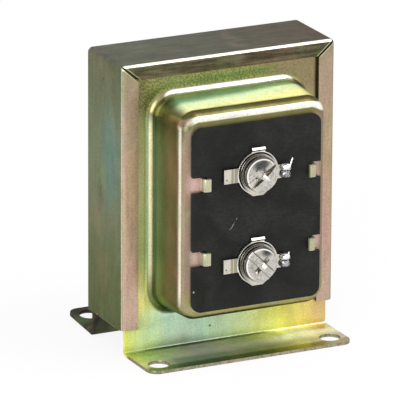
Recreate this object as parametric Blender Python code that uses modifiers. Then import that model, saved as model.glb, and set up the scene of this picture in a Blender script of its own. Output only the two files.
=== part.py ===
"""Lighting transformer: a small laminated-core transformer in a folded sheet steel case.

The case is a band folded over the top and sides of the core. Its in-turned edges clamp two
covers, front and rear. Each cover is a flat plate with a deep drawn pan over the coil, and its
lower edge is bent outward into a foot with two mounting holes. The front pan carries an
insulating board under four lanced clips, and the board carries two screw terminals.

Metres, +Z up, front towards -Y. Everything is modelled about the middle of the core and hangs
on one empty, which puts the centre of the whole object's outline over the origin. The soles
of the feet are at Z = 0.
"""

import bmesh
import bpy
from math import acos, asin, cos, pi, radians, sin, tan
from mathutils import Matrix, Vector

OBJECT_NAME = "lighting_transformer"

# Sheet, fits and facets
SHEET = 0.0008               # steel of the band and of both covers
FIT = 0.0003                 # clearance between pieces that touch
OVERRUN = 0.002              # how far a cutter runs past what it cuts
CORNER_STEPS = 7             # facets round a pan corner
BEND_STEPS = 5               # facets round a sheet metal bend
ROUND_STEPS = 40             # facets round a terminal, a screw or a hole

# Core: E and I laminations, limbs lying across the case
LIMB = 0.011                 # outer limb, yoke and window height; the middle limb is twice as tall
WINDOW_LENGTH = 0.033
STACK = 0.0158               # thickness of the stack of laminations
CORE_HOLE = 0.0042

# Coil
BOBBIN_WALL = 0.0009
PRIMARY_BUILD = 0.0032
TAPE_BUILD = 0.0004
WRAP_BUILD = 0.0004
FLANGE_WALL = 0.0010
FLANGE_CORNER = 0.0015
COIL_CORNER = 0.0012
COIL_ROOM = 0.0010           # between the bobbin's flanges and the outer limbs
LINER_SHEET = 0.0004
LINER_MARGIN = 0.0030        # the liner stops this far inside the flanges, up and down
LEAD_RADIUS = 0.0005
LEAD_SWING = 0.0025          # each lead leaves the coil this far from the height of its lug
SLEEVE_WALL = 0.0003
LEAD_STEPS = 9

# Band folded over the top and sides
BAND_ROOM = 0.0007           # between the core and each side of the band
BEND_RADIUS = 0.0013         # outside radius of every fold of the band
SIDE_FLANGE = 0.0045         # width of the in-turned edge at the sides
TOP_FLANGE = 0.0039          # and along the top
MITRE_LEFT_TIP = 0.00028     # mitre slots at the outer corners
MITRE_RIGHT_TIP = 0.00045
MITRE_LEFT_END = 0.00095     # and at their inner ends
MITRE_RIGHT_END = 0.00038
HOLD_TAB_HEIGHT = 0.0062     # underside of the tab folded in under the core, above the floor
HOLD_TAB_LENGTH = 0.0052
HOLD_TAB_WIDTH = 0.0086
HOLD_TAB_SHIFT = -0.0010     # its middle, measured from the middle of the core
RELIEF_WIDTH = 0.0007        # slits that free the tab
RELIEF_RISE = 0.0003         # they end this far above its fold
RELIEF_DEPTH = 0.0008        # from the lower edge of the side

# Covers
PLATE_ROOM = 0.00055         # between a plate and each side of the band
PAN_END_ROOM = 0.0063        # pan beyond the bobbin, up and down
PAN_FACE_ROOM = 0.0049       # liner to the inside of the pan face
PAN_DROP = 0.0019            # middle of the pan below the middle of the core
PAN_CORNER = 0.0055
PAN_ROOT = 0.0020            # hollow radius between plate and wall
PAN_NOSE = 0.0028            # round between wall and face
PAN_DRAFT = radians(4.0)
ROOT_STEPS = 5
NOSE_STEPS = 6
FOOT_REACH = 0.0153          # plate face to free edge of the foot
FOOT_BEND = 0.0005           # inside radius between plate and foot
FOOT_CORNER = 0.0028
FOOT_NOTCH = 0.00025         # relief nicks at the ends of the foot bend
REAR_FOOT_LIFT = 0.0012      # the rear foot sprang back, so its free edge is this far up
REAR_SHIFT = -0.0003         # the rear cover was clamped this far off the middle
MOUNT_HOLE = 0.0053
HOLE_SIDE_INSET = 0.0042
HOLE_EDGE_INSET = 0.0047

# Terminal board and the clips lanced from the pan face
BOARD_SIDE_MARGIN = 0.0032   # pan beyond the board, at each side
BOARD_END_MARGIN = 0.0040    # and up and down
BOARD_DROP = 0.0005          # middle of the board below the middle of the pan
BOARD_THICKNESS = 0.0009
BOARD_CORNER = 0.0024
CLIP_INSET = 0.0020          # board edge to the outside of a clip
CLIP_SHIFT = 0.0005          # the clip pattern was lanced this far to the right
CLIP_HEIGHT = 0.0031
CLIP_LAP = 0.0008            # how far a clip reaches in over the board
CLIP_SPACING = 0.0188
CLIP_DROP = 0.0003           # middle of the clip pattern below the middle of the board
CLIP_RADIUS = 0.0009         # outside radius of its folds
NOTCH_ROOM = 0.00045         # notch beyond the clip, up and down
WINDOW_SIDE_ROOM = 0.0007    # opening in the pan face, beyond the lead sleeves
WINDOW_WEB = 0.0022          # steel left between that opening and the lanced clips
WINDOW_END_ROOM = 0.0026     # and beyond the collars of the terminals
WINDOW_CORNER = 0.0020

# Terminals
TERMINAL_SPACING = 0.02285
TERMINAL_DROP = 0.0008       # middle of the pair below the middle of the board
TERMINAL_SHIFT = -0.0002     # the pair sits this far from the middle of the board
TERMINAL_RADIUS = 0.00545
TERMINAL_SHEET = 0.0007
EAR_WIDTH = 0.0036           # width of the carrier strip: left ear, top ear and lower stub
LEFT_EAR_REACH = 0.0092
TOP_EAR_REACH = 0.0058
TOP_EAR_TURN = 0.0007        # length of its turned-up edge
TOP_EAR_LEAN = radians(45.0)
STUB_REACH = 0.00575
LUG_WIDTH = 0.0034
LUG_DROP = 0.0004            # lug axis below the screw axis
LEAD_HOLE = 0.0018
LEAD_INSET = 0.0012          # lead hole from the end of the lug
COLLAR_WALL = 0.0008         # drawn collar that takes the screw thread
COLLAR_FLARE = 0.0007        # its staked rim behind the board
SHANK_RADIUS = 0.0019
SHANK_LENGTH = 0.0060
HEAD_RADIUS = 0.0045
HEAD_SIDE = 0.0016
HEAD_DOME = 0.0009
SLOT_WIDTH = 0.0019
SLOT_DEPTH = 0.0011
CROSS_WIDTH = 0.0013
CROSS_LENGTH = 0.0054
CROSS_FLOOR = 0.0022         # its length at the bottom
CROSS_DEPTH = 0.0019
UPPER_SLOT_TURN = radians(40.0)
LOWER_SLOT_TURN = radians(-45.0)
SOLDER_ROOM = 0.0008         # between the screw head and the solder
SOLDER_LENGTH = 0.0033
SOLDER_HEIGHT = 0.0038
SOLDER_RISE = 0.0014
SOLDER_LIFT = 0.0002         # its middle above the screw axis
SOLDER_STEPS = 20
TAIL_RADIUS = 0.00028
TAIL_LEAN = radians(10.0)
UPPER_TAIL = 0.0031          # length of the wire end, most of it in the solder
LOWER_TAIL = 0.0023

# Core and coil, worked out from the sizes above. The coil's half sizes grow layer by layer.
CORE_HEIGHT = 6 * LIMB
CORE_WIDTH = WINDOW_LENGTH + 2 * LIMB
CORE_BOTTOM = HOLD_TAB_HEIGHT + SHEET + FIT
CORE_TOP = CORE_BOTTOM + CORE_HEIGHT
CORE_MIDDLE = (CORE_BOTTOM + CORE_TOP) / 2
BOBBIN_INNER_Z = LIMB + FIT
BOBBIN_INNER_Y = STACK / 2 + FIT
BOBBIN_HALF = WINDOW_LENGTH / 2 - FIT
FLANGE_BUILD = LIMB - FIT - COIL_ROOM
COIL_BUILD = FLANGE_BUILD - 2 * FIT
PRIMARY_START = BOBBIN_WALL + FIT
TAPE_START = PRIMARY_START + PRIMARY_BUILD + FIT
SECONDARY_START = TAPE_START + TAPE_BUILD + FIT
WRAP_START = COIL_BUILD - WRAP_BUILD
SECONDARY_BUILD = WRAP_START - FIT - SECONDARY_START
COIL_FACE = BOBBIN_INNER_Y + COIL_BUILD
FLANGE_FACE = BOBBIN_INNER_Y + FLANGE_BUILD
LINER_FACE = FLANGE_FACE + FIT + LINER_SHEET
SLEEVE_RADIUS = LEAD_RADIUS + FIT + SLEEVE_WALL

# Terminals, clips and board, worked out across the pan from its middle
BORE_RADIUS = SHANK_RADIUS + FIT
COLLAR_RADIUS = BORE_RADIUS + COLLAR_WALL
RIM_RADIUS = COLLAR_RADIUS + FIT + COLLAR_FLARE
LUG_REACH = HEAD_RADIUS + SOLDER_ROOM + SOLDER_LENGTH
LEAD_X = TERMINAL_SHIFT + LUG_REACH - LEAD_INSET
WINDOW_WIDTH = 2 * (LEAD_X + SLEEVE_RADIUS + WINDOW_SIDE_ROOM)
WINDOW_HEIGHT = TERMINAL_SPACING + 2 * (RIM_RADIUS + WINDOW_END_ROOM)
LANCED_LENGTH = BOARD_THICKNESS + 2 * SHEET + CLIP_LAP
CLIP_INSIDE = WINDOW_WIDTH / 2 + WINDOW_WEB + LANCED_LENGTH
CLIP_ROOT = CLIP_INSIDE + SHEET
NOTCH_END = CLIP_INSIDE - FIT
NOTCH_HEIGHT = CLIP_HEIGHT + 2 * NOTCH_ROOM
BOARD_WIDTH = 2 * (CLIP_ROOT + CLIP_INSET)

# Case, worked out from the core and the coil. Depths run forward from the middle of the core.
BAND_TOP = CORE_TOP + FIT + SHEET
BAND_WIDTH = CORE_WIDTH + 2 * (BAND_ROOM + SHEET)
RELIEF_TOP = HOLD_TAB_HEIGHT + BEND_RADIUS + RELIEF_RISE
BAND_BOTTOM = RELIEF_TOP - RELIEF_DEPTH
PLATE_BACK = STACK / 2 + FIT
PLATE_FACE = PLATE_BACK + SHEET
BAND_FACE = PLATE_FACE + FIT + SHEET
PLATE_WIDTH = BAND_WIDTH - 2 * (SHEET + PLATE_ROOM)
PAN_FACE = LINER_FACE + PAN_FACE_ROOM + SHEET
PAN_DEPTH = PAN_FACE - PLATE_FACE
PAN_WIDTH = BOARD_WIDTH + 2 * BOARD_SIDE_MARGIN
PAN_HEIGHT = 2 * (BOBBIN_INNER_Z + FLANGE_BUILD + PAN_END_ROOM)
PAN_MIDDLE = CORE_MIDDLE - PAN_DROP
PAN_BOTTOM = PAN_MIDDLE - PAN_HEIGHT / 2

# Heights and depths of the board and terminals, worked out from the pan
BOARD_HEIGHT = PAN_HEIGHT - 2 * BOARD_END_MARGIN
BOARD_MIDDLE = PAN_MIDDLE - BOARD_DROP
BOARD_BOTTOM = BOARD_MIDDLE - BOARD_HEIGHT / 2
BOARD_BACK = PAN_FACE + FIT
BOARD_FACE = BOARD_BACK + BOARD_THICKNESS
CLIP_MIDDLE = BOARD_MIDDLE - CLIP_DROP
TERMINAL_MIDDLE = BOARD_MIDDLE - TERMINAL_DROP
TERMINAL_BACK = BOARD_FACE + FIT
TERMINAL_FACE = TERMINAL_BACK + TERMINAL_SHEET
HEAD_SEAT = TERMINAL_FACE + FIT
HEAD_TOP = HEAD_SEAT + HEAD_SIDE + HEAD_DOME
MIDDLE_Y = (HEAD_TOP - PAN_FACE) / 2                 # brings the whole outline over the origin


def clear_scene():
    """Remove every object and collection of the open file."""
    for item in list(bpy.data.objects):
        bpy.data.objects.remove(item, do_unlink=True)
    for group in list(bpy.data.collections):
        bpy.data.collections.remove(group)


def new_collection(name):
    group = bpy.data.collections.new(name)
    bpy.context.scene.collection.children.link(group)
    return group


clear_scene()
PARTS = new_collection(OBJECT_NAME)
CUTTERS = new_collection(OBJECT_NAME + "_cutters")
CARRIER = bpy.data.objects.new(OBJECT_NAME + "_middle", None)
CARRIER.location = (0, MIDDLE_Y, 0)
CARRIER.empty_display_size = STACK
PARTS.objects.link(CARRIER)


def finish(name, colour, roughness, metallic):
    """A Principled material from a colour, a roughness and a metallic value."""
    made = bpy.data.materials.new(name)
    made.use_nodes = True
    made.diffuse_color = (*colour, 1)
    shader = made.node_tree.nodes["Principled BSDF"]
    shader.inputs["Base Color"].default_value = (*colour, 1)
    shader.inputs["Roughness"].default_value = roughness
    shader.inputs["Metallic"].default_value = metallic
    return made


STEEL_BAND = finish("yellow_zinc_band", (0.42, 0.36, 0.22), 0.35, 1.0)
STEEL_FRONT = finish("yellow_zinc_front", (0.52, 0.48, 0.24), 0.35, 1.0)
STEEL_REAR = finish("yellow_zinc_rear", (0.48, 0.42, 0.22), 0.35, 1.0)
FIBRE = finish("black_fibre", (0.020, 0.020, 0.019), 0.60, 0.0)
NICKEL = finish("nickel_plate", (0.62, 0.59, 0.52), 0.25, 1.0)
SCREW_NICKEL = finish("nickel_screw", (0.60, 0.57, 0.50), 0.22, 1.0)
SOLDER = finish("solder", (0.66, 0.66, 0.64), 0.30, 1.0)
SILICON_STEEL = finish("silicon_steel", (0.24, 0.25, 0.27), 0.45, 1.0)
SILICON_STEEL_BAR = finish("silicon_steel_bar", (0.22, 0.23, 0.25), 0.45, 1.0)
NYLON = finish("natural_nylon", (0.62, 0.58, 0.48), 0.50, 0.0)
PRIMARY_WIRE = finish("primary_enamel", (0.42, 0.12, 0.04), 0.30, 0.8)
SECONDARY_WIRE = finish("secondary_enamel", (0.50, 0.20, 0.06), 0.30, 0.8)
YELLOW_TAPE = finish("yellow_tape", (0.72, 0.55, 0.08), 0.35, 0.0)
WHITE_TAPE = finish("white_tape", (0.70, 0.68, 0.62), 0.45, 0.0)
FISH_PAPER = finish("fish_paper", (0.16, 0.17, 0.18), 0.70, 0.0)
TINNED_WIRE = finish("tinned_wire", (0.60, 0.58, 0.54), 0.30, 1.0)
SLEEVING = finish("glass_sleeving", (0.55, 0.52, 0.40), 0.60, 0.0)


def add_object(name, mesh, material=None):
    """Link a mesh as a part, or as a cutter where it has no material."""
    made = bpy.data.objects.new(name, mesh)
    made.parent = CARRIER
    if material is None:
        CUTTERS.objects.link(made)
        made.hide_render = True
        made.display_type = "WIRE"
    else:
        PARTS.objects.link(made)
        mesh.materials.append(material)
    return made


def to_object(name, shape, material=None):
    """Turn a bmesh into an object, with its faces pointing out."""
    bmesh.ops.recalc_face_normals(shape, faces=shape.faces)
    mesh = bpy.data.meshes.new(name)
    shape.to_mesh(mesh)
    shape.free()
    return add_object(name, mesh, material)


def arc(centre, radius, start, end, steps):
    """Points on an arc in a plane, ends included."""
    span = [start + (end - start) * step / steps for step in range(steps + 1)]
    return [(centre[0] + radius * cos(turn), centre[1] + radius * sin(turn)) for turn in span]


def rounded_rectangle(left, right, low, high, radius, steps=CORNER_STEPS):
    """A closed outline, counter-clockwise from the right end of the lower edge."""
    points = arc((right - radius, low + radius), radius, -pi / 2, 0, steps)
    points += arc((right - radius, high - radius), radius, 0, pi / 2, steps)
    points += arc((left + radius, high - radius), radius, pi / 2, pi, steps)
    points += arc((left + radius, low + radius), radius, pi, pi * 3 / 2, steps)
    return points


def slab(name, outline, back, face, material=None):
    """A flat piece: an outline in X and Z, between two depths in front of the middle."""
    shape = bmesh.new()
    ring = [shape.verts.new((x, -back, z)) for x, z in outline]
    sheet = shape.faces.new(ring)
    grown = bmesh.ops.extrude_face_region(shape, geom=[sheet])
    moved = [item for item in grown["geom"] if isinstance(item, bmesh.types.BMVert)]
    bmesh.ops.translate(shape, verts=moved, vec=(0, back - face, 0))
    return to_object(name, shape, material)


def box(name, low, high, material=None):
    """A box between two opposite corners."""
    shape = bmesh.new()
    size = Vector(high) - Vector(low)
    middle = (Vector(high) + Vector(low)) / 2
    bmesh.ops.create_cube(shape, size=1, matrix=Matrix.Translation(middle) @ Matrix.Diagonal((*size, 1)))
    return to_object(name, shape, material)


def bar(name, radius, back, face, x, z, material=None, steps=ROUND_STEPS):
    """A round bar along Y between two depths in front of the middle."""
    shape = bmesh.new()
    place = Matrix.Translation((x, -(back + face) / 2, z)) @ Matrix.Rotation(pi / 2, 4, "X")
    bmesh.ops.create_cone(shape, cap_ends=True, segments=steps, radius1=radius, radius2=radius,
                          depth=abs(face - back), matrix=place)
    return to_object(name, shape, material)


def upright_bar(name, radius, low, high, x, y):
    """A round cutter along Z between two heights."""
    shape = bmesh.new()
    place = Matrix.Translation((x, y, (low + high) / 2))
    bmesh.ops.create_cone(shape, cap_ends=True, segments=ROUND_STEPS, radius1=radius, radius2=radius,
                          depth=high - low, matrix=place)
    return to_object(name, shape)


def combine(target, tool, operation):
    step = target.modifiers.new(operation.lower() + "_" + tool.name, "BOOLEAN")
    step.operation = operation
    step.solver = "EXACT"
    step.object = tool
    return target


def cut(target, *tools):
    """Take each tool's body out of the target."""
    for tool in tools:
        combine(target, tool, "DIFFERENCE")


def join(target, *tools):
    """Grow each tool's body onto the target."""
    for tool in tools:
        combine(target, tool, "UNION")


def thicken(target, thickness, offset=-1):
    """Give an open surface its thickness, behind its faces."""
    step = target.modifiers.new("thickness", "SOLIDIFY")
    step.thickness = thickness
    step.offset = offset
    step.use_even_offset = True
    step.use_quality_normals = True


def shade(target, angle=35.0):
    """Smooth shading that keeps the sharp edges."""
    target.data.shade_smooth()
    target.data.set_sharp_from_angle(angle=radians(angle))


def strip(name, path, low, high, thickness, material=None):
    """A folded strip: a path in X and depth, as tall as low to high, thick behind the path."""
    shape = bmesh.new()
    rows = []
    for x, depth in path:
        rows.append([shape.verts.new((x, -depth, z)) for z in (low, high)])
    for near, far in zip(rows, rows[1:]):
        shape.faces.new((near[0], far[0], far[1], near[1]))
    mesh = bpy.data.meshes.new(name)
    shape.to_mesh(mesh)
    shape.free()
    made = add_object(name, mesh, material)
    thicken(made, thickness)
    return made


# Core

def build_core():
    """The E stack, open towards +X, and the I stack that closes it."""
    left = -CORE_WIDTH / 2
    spine = left + LIMB
    tips = spine + WINDOW_LENGTH
    low = CORE_BOTTOM
    high = CORE_TOP
    outline = [(left, low), (tips, low), (tips, low + LIMB), (spine, low + LIMB),
               (spine, low + LIMB + LIMB), (tips, low + LIMB + LIMB),
               (tips, high - LIMB - LIMB), (spine, high - LIMB - LIMB),
               (spine, high - LIMB), (tips, high - LIMB), (tips, high), (left, high)]
    e_stack = slab("core_e_stack", outline, -STACK / 2, STACK / 2, SILICON_STEEL)
    bar_low = (tips + FIT, -STACK / 2, low)
    bar_high = (tips + FIT + LIMB, STACK / 2, high)
    i_stack = box("core_i_stack", bar_low, bar_high, SILICON_STEEL_BAR)
    for stack, x in ((e_stack, left + LIMB / 2), (i_stack, tips + FIT + LIMB / 2)):
        for end, z in (("lower", low + LIMB / 2), ("upper", high - LIMB / 2)):
            hole = bar(stack.name + "_hole_" + end, CORE_HOLE / 2, -STACK, STACK, x, z)
            cut(stack, hole)


# Coil on the middle limb, its axis along X

def coil_ring(name, build, thickness, half_length, material=None):
    """A wound layer: a rounded box tube round the bobbin, thick inward from its outline."""
    half_y = BOBBIN_INNER_Y + build + thickness
    half_z = BOBBIN_INNER_Z + build + thickness
    outline = rounded_rectangle(-half_y, half_y, CORE_MIDDLE - half_z, CORE_MIDDLE + half_z,
                                COIL_CORNER + thickness, BEND_STEPS)
    shape = bmesh.new()
    ends = []
    for x in (-half_length, half_length):
        ends.append([shape.verts.new((x, y, z)) for y, z in outline])
    for side in range(len(outline)):
        after = (side + 1) % len(outline)
        shape.faces.new((ends[0][side], ends[0][after], ends[1][after], ends[1][side]))
    bmesh.ops.recalc_face_normals(shape, faces=shape.faces)
    if shape.faces[0].normal.dot(shape.faces[0].calc_center_median() - Vector((0, 0, CORE_MIDDLE))) < 0:
        bmesh.ops.reverse_faces(shape, faces=shape.faces)
    mesh = bpy.data.meshes.new(name)
    shape.to_mesh(mesh)
    shape.free()
    made = add_object(name, mesh, material)
    thicken(made, thickness)
    return made


def build_coil():
    """Bobbin, primary, tape, secondary and outer wrap, one inside the other."""
    wound = BOBBIN_HALF - FLANGE_WALL - FIT
    bobbin = coil_ring("bobbin", 0, BOBBIN_WALL, BOBBIN_HALF, NYLON)
    for side, place in (("left", -1), ("right", 1)):
        inner = place * (BOBBIN_HALF - FLANGE_WALL)
        outer = place * BOBBIN_HALF
        half_y = BOBBIN_INNER_Y + FLANGE_BUILD
        half_z = BOBBIN_INNER_Z + FLANGE_BUILD
        flange = end_plate("bobbin_flange_" + side, half_y, half_z, inner, outer)
        join(bobbin, flange)
    core_space = box("bobbin_bore", (-BOBBIN_HALF - OVERRUN, -BOBBIN_INNER_Y, CORE_MIDDLE - BOBBIN_INNER_Z),
                     (BOBBIN_HALF + OVERRUN, BOBBIN_INNER_Y, CORE_MIDDLE + BOBBIN_INNER_Z))
    cut(bobbin, core_space)
    coil_ring("primary_winding", PRIMARY_START, PRIMARY_BUILD, wound, PRIMARY_WIRE)
    coil_ring("interwinding_tape", TAPE_START, TAPE_BUILD, wound, YELLOW_TAPE)
    coil_ring("secondary_winding", SECONDARY_START, SECONDARY_BUILD, wound, SECONDARY_WIRE)
    coil_ring("outer_wrap", WRAP_START, WRAP_BUILD, wound, WHITE_TAPE)


def end_plate(name, half_y, half_z, inner, outer):
    """A bobbin flange: a rounded rectangle in Y and Z between two places along X."""
    shape = bmesh.new()
    outline = rounded_rectangle(-half_y, half_y, CORE_MIDDLE - half_z, CORE_MIDDLE + half_z,
                                FLANGE_CORNER, BEND_STEPS)
    sheet = shape.faces.new([shape.verts.new((inner, y, z)) for y, z in outline])
    grown = bmesh.ops.extrude_face_region(shape, geom=[sheet])
    moved = [item for item in grown["geom"] if isinstance(item, bmesh.types.BMVert)]
    bmesh.ops.translate(shape, verts=moved, vec=(outer - inner, 0, 0))
    return to_object(name, shape)


def build_liners():
    """Folded fish paper over the coil, one in each pan."""
    half = BOBBIN_INNER_Z + FLANGE_BUILD - LINER_MARGIN
    low = CORE_MIDDLE - half
    high = CORE_MIDDLE + half
    side = BOBBIN_HALF + FIT + LINER_SHEET
    start = STACK / 2 + FIT
    for name, facing in (("front_liner", 1), ("rear_liner", -1)):
        path = [(-side, start), (-side, LINER_FACE), (side, LINER_FACE), (side, start)]
        liner = strip(name, [(x * facing, depth * facing) for x, depth in path],
                      low, high, LINER_SHEET, FISH_PAPER)
        if facing == 1:
            for end, z in coil_exits():
                hole = bar("liner_hole_" + end, SLEEVE_RADIUS + FIT, LINER_FACE - OVERRUN,
                           LINER_FACE + OVERRUN, LEAD_X, z)
                cut(liner, hole)


# Band

def band_stations():
    """Stations along the band's outside, left foot to right foot: point, inward, flange edge."""
    half = BAND_WIDTH / 2
    turn_z = BAND_TOP - BEND_RADIUS
    turn_x = half - BEND_RADIUS
    left = []
    for z in (BAND_BOTTOM, RELIEF_TOP, turn_z):
        left.append(((-half, z), (1, 0), (-half + SIDE_FLANGE, z)))
    mitre = (-half + SIDE_FLANGE, BAND_TOP - TOP_FLANGE)
    left[-1] = (left[-1][0], left[-1][1], mitre)
    for step in range(1, BEND_STEPS + 1):
        turn = pi / 2 * step / BEND_STEPS
        outward = (-cos(turn), sin(turn))
        point = (-turn_x + BEND_RADIUS * outward[0], turn_z + BEND_RADIUS * outward[1])
        left.append((point, (-outward[0], -outward[1]), mitre))
    right = [((-point[0], point[1]), (-inward[0], inward[1]), (-edge[0], edge[1]))
             for point, inward, edge in reversed(left)]
    return left + right


def band_profile():
    """Columns across the band, front to rear: inward depth and Y. None marks the flange edge."""
    half = BAND_FACE
    turn = half - BEND_RADIUS
    tab_front = HOLD_TAB_SHIFT - HOLD_TAB_WIDTH / 2
    tab_rear = HOLD_TAB_SHIFT + HOLD_TAB_WIDTH / 2
    front = [(None, -half)]
    for step in range(BEND_STEPS + 1):
        angle = pi / 2 * step / BEND_STEPS
        front.append((BEND_RADIUS - BEND_RADIUS * sin(angle), -turn - BEND_RADIUS * cos(angle)))
    rear = [(depth, -y) for depth, y in reversed(front)]
    middle = [(0, y) for y in (tab_front - RELIEF_WIDTH, tab_front, tab_rear, tab_rear + RELIEF_WIDTH)]
    return front + middle + rear


def band_surface():
    """The outside of the band as a grid of stations and columns, tabs included."""
    stations = band_stations()
    columns = band_profile()
    shape = bmesh.new()
    grid = []
    for point, inward, edge in stations:
        row = []
        for depth, y in columns:
            if depth is None:
                x, z = edge
            else:
                x = point[0] + inward[0] * depth
                z = point[1] + inward[1] * depth
            row.append(shape.verts.new((x, y, z)))
        grid.append(row)
    first_free = BEND_STEPS + 2          # column before the first slit
    freed = range(first_free, first_free + 3)
    last = len(stations) - 2
    for row in range(len(stations) - 1):
        for column in range(len(columns) - 1):
            if row in (0, last) and column in freed:
                continue
            corners = (grid[row][column], grid[row + 1][column],
                       grid[row + 1][column + 1], grid[row][column + 1])
            shape.faces.new(corners)
    for row, side in ((1, -1), (last, 1)):
        edge = [grid[row][first_free + 1], grid[row][first_free + 2]]
        fold_tab(shape, edge, side)
    bmesh.ops.remove_doubles(shape, verts=shape.verts, dist=FIT / 100)
    bmesh.ops.dissolve_degenerate(shape, edges=shape.edges, dist=FIT / 100)
    return shape


def fold_tab(shape, edge, side):
    """Fold the tab in under the core from an edge of the side wall."""
    outside = side * BAND_WIDTH / 2
    axis_x = outside - side * BEND_RADIUS
    axis_z = HOLD_TAB_HEIGHT + BEND_RADIUS
    path = [(outside, axis_z)]
    for step in range(1, BEND_STEPS + 1):
        turn = pi / 2 * step / BEND_STEPS
        path.append((axis_x + side * BEND_RADIUS * cos(turn), axis_z - BEND_RADIUS * sin(turn)))
    path.append((outside - side * HOLD_TAB_LENGTH, HOLD_TAB_HEIGHT))
    before = edge
    for x, z in path:
        after = [shape.verts.new((x, vert.co.y, z)) for vert in edge]
        corners = (before[0], before[1], after[1], after[0])
        shape.faces.new(corners if side < 0 else tuple(reversed(corners)))
        before = after


def mitre_cutter(name, side, facing, tip_gap, end_gap):
    """A tapered slot along the mitre, from the outer corner to past the flange's inner corner."""
    half = BAND_WIDTH / 2
    tip = Vector((side * (half - BEND_RADIUS / 3), BAND_TOP - BEND_RADIUS / 3))
    inner = Vector((side * (half - SIDE_FLANGE), BAND_TOP - TOP_FLANGE))
    along = (inner - tip).normalized()
    across = Vector((-along.y, along.x))
    start = tip - along * BEND_RADIUS
    end = inner + along * BEND_RADIUS
    outline = [start + across * tip_gap / 2, end + across * end_gap / 2,
               end - across * end_gap / 2, start - across * tip_gap / 2]
    depths = (BAND_FACE - SHEET - FIT, BAND_FACE + OVERRUN)
    if facing < 0:
        depths = (-depths[1], -depths[0])
    return slab(name, [tuple(point) for point in outline], *depths)


def build_band():
    """The band, with its four mitre slots."""
    shape = band_surface()
    bmesh.ops.recalc_face_normals(shape, faces=shape.faces)
    top = max(shape.faces, key=lambda face: face.calc_center_median().z)
    if top.normal.z < 0:
        bmesh.ops.reverse_faces(shape, faces=shape.faces)
    mesh = bpy.data.meshes.new("case_band")
    shape.to_mesh(mesh)
    shape.free()
    band = add_object("case_band", mesh, STEEL_BAND)
    thicken(band, SHEET)
    for end, facing in (("front", 1), ("rear", -1)):
        cut(band, mitre_cutter("mitre_" + end + "_left", -1, facing, MITRE_LEFT_TIP, MITRE_LEFT_END))
        cut(band, mitre_cutter("mitre_" + end + "_right", 1, facing, MITRE_RIGHT_TIP, MITRE_RIGHT_END))
    shade(band)


# Covers

def pan_section():
    """Section of the drawn pan, plate to face: growth beyond the nominal outline, and depth."""
    lean_cos = cos(PAN_DRAFT)
    lean_sin = sin(PAN_DRAFT)
    slope = tan(PAN_DRAFT)
    section = []
    root_touch = PAN_ROOT * (1 - lean_sin)
    root_centre = (PAN_ROOT * lean_cos - root_touch * slope, PAN_ROOT)
    for step in range(ROOT_STEPS + 1):
        turn = (pi / 2 - PAN_DRAFT) * step / ROOT_STEPS
        section.append((root_centre[0] - PAN_ROOT * sin(turn), root_centre[1] - PAN_ROOT * cos(turn)))
    nose_touch = PAN_DEPTH - PAN_NOSE * (1 - lean_sin)
    nose_centre = (-nose_touch * slope - PAN_NOSE * lean_cos, PAN_DEPTH - PAN_NOSE)
    for step in range(NOSE_STEPS + 1):
        turn = PAN_DRAFT + (pi / 2 - PAN_DRAFT) * step / NOSE_STEPS
        section.append((nose_centre[0] + PAN_NOSE * cos(turn), nose_centre[1] + PAN_NOSE * sin(turn)))
    return section


def pan_outline(growth):
    """Outline of the pan at one level of its section."""
    half = PAN_WIDTH / 2 + growth
    return rounded_rectangle(-half, half, PAN_BOTTOM - growth, PAN_BOTTOM + PAN_HEIGHT + growth,
                             PAN_CORNER + growth)


def add_ring(shape, outline, depth):
    return [shape.verts.new((x, -(PLATE_FACE + depth), z)) for x, z in outline]


def close_loop(shape, ring):
    """Edges round a ring of vertices."""
    pairs = zip(ring, ring[1:] + ring[:1])
    return [shape.edges.get(pair) or shape.edges.new(pair) for pair in pairs]


def cover_surface(lift):
    """The outside of a cover: plate, drawn pan and foot, as one open surface facing -Y."""
    shape = bmesh.new()
    rings = [add_ring(shape, pan_outline(growth), depth) for growth, depth in pan_section()]
    for outer, inner in zip(rings, rings[1:]):
        for side in range(len(outer)):
            after = (side + 1) % len(outer)
            shape.faces.new((outer[side], outer[after], inner[after], inner[side]))
    shape.faces.new(rings[-1])
    half = PLATE_WIDTH / 2
    fold = SHEET + FOOT_BEND
    frame = add_ring(shape, [(-half, fold), (half, fold), (half, CORE_TOP), (-half, CORE_TOP)], 0)
    loops = close_loop(shape, frame) + close_loop(shape, rings[0])
    bmesh.ops.triangle_fill(shape, use_beauty=True, edges=loops, normal=(0, -1, 0))
    add_foot(shape, frame[0], frame[1], lift)
    bmesh.ops.recalc_face_normals(shape, faces=shape.faces)
    face = min(shape.faces, key=lambda item: item.calc_center_median().y)
    if face.normal.y > 0:
        bmesh.ops.reverse_faces(shape, faces=shape.faces)
    return shape


def add_foot(shape, left, right, lift):
    """Bend the plate's lower edge forward into a foot with rounded free corners."""
    half = PLATE_WIDTH / 2
    reach = FOOT_REACH - FOOT_BEND
    rise = asin(lift / reach) if lift else 0
    axis_y = -PLATE_FACE - FOOT_BEND
    axis_z = SHEET + FOOT_BEND
    before = (left, right)
    sweep = pi / 2 - rise
    for step in range(1, BEND_STEPS + 1):
        turn = sweep * step / BEND_STEPS
        y = axis_y + FOOT_BEND * cos(turn)
        z = axis_z - FOOT_BEND * sin(turn)
        after = (shape.verts.new((-half, y, z)), shape.verts.new((half, y, z)))
        shape.faces.new((before[0], before[1], after[1], after[0]))
        before = after
    start = before[0].co.copy()
    along = Vector((0, -cos(rise), sin(rise)))
    outline = arc((half - FOOT_CORNER, reach - FOOT_CORNER), FOOT_CORNER, 0, pi / 2, CORNER_STEPS)
    outline += [(-x, distance) for x, distance in reversed(outline)]
    tip = [shape.verts.new((x, start.y + along.y * distance, start.z + along.z * distance))
           for x, distance in outline]
    shape.faces.new([before[0], before[1]] + tip)


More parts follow.
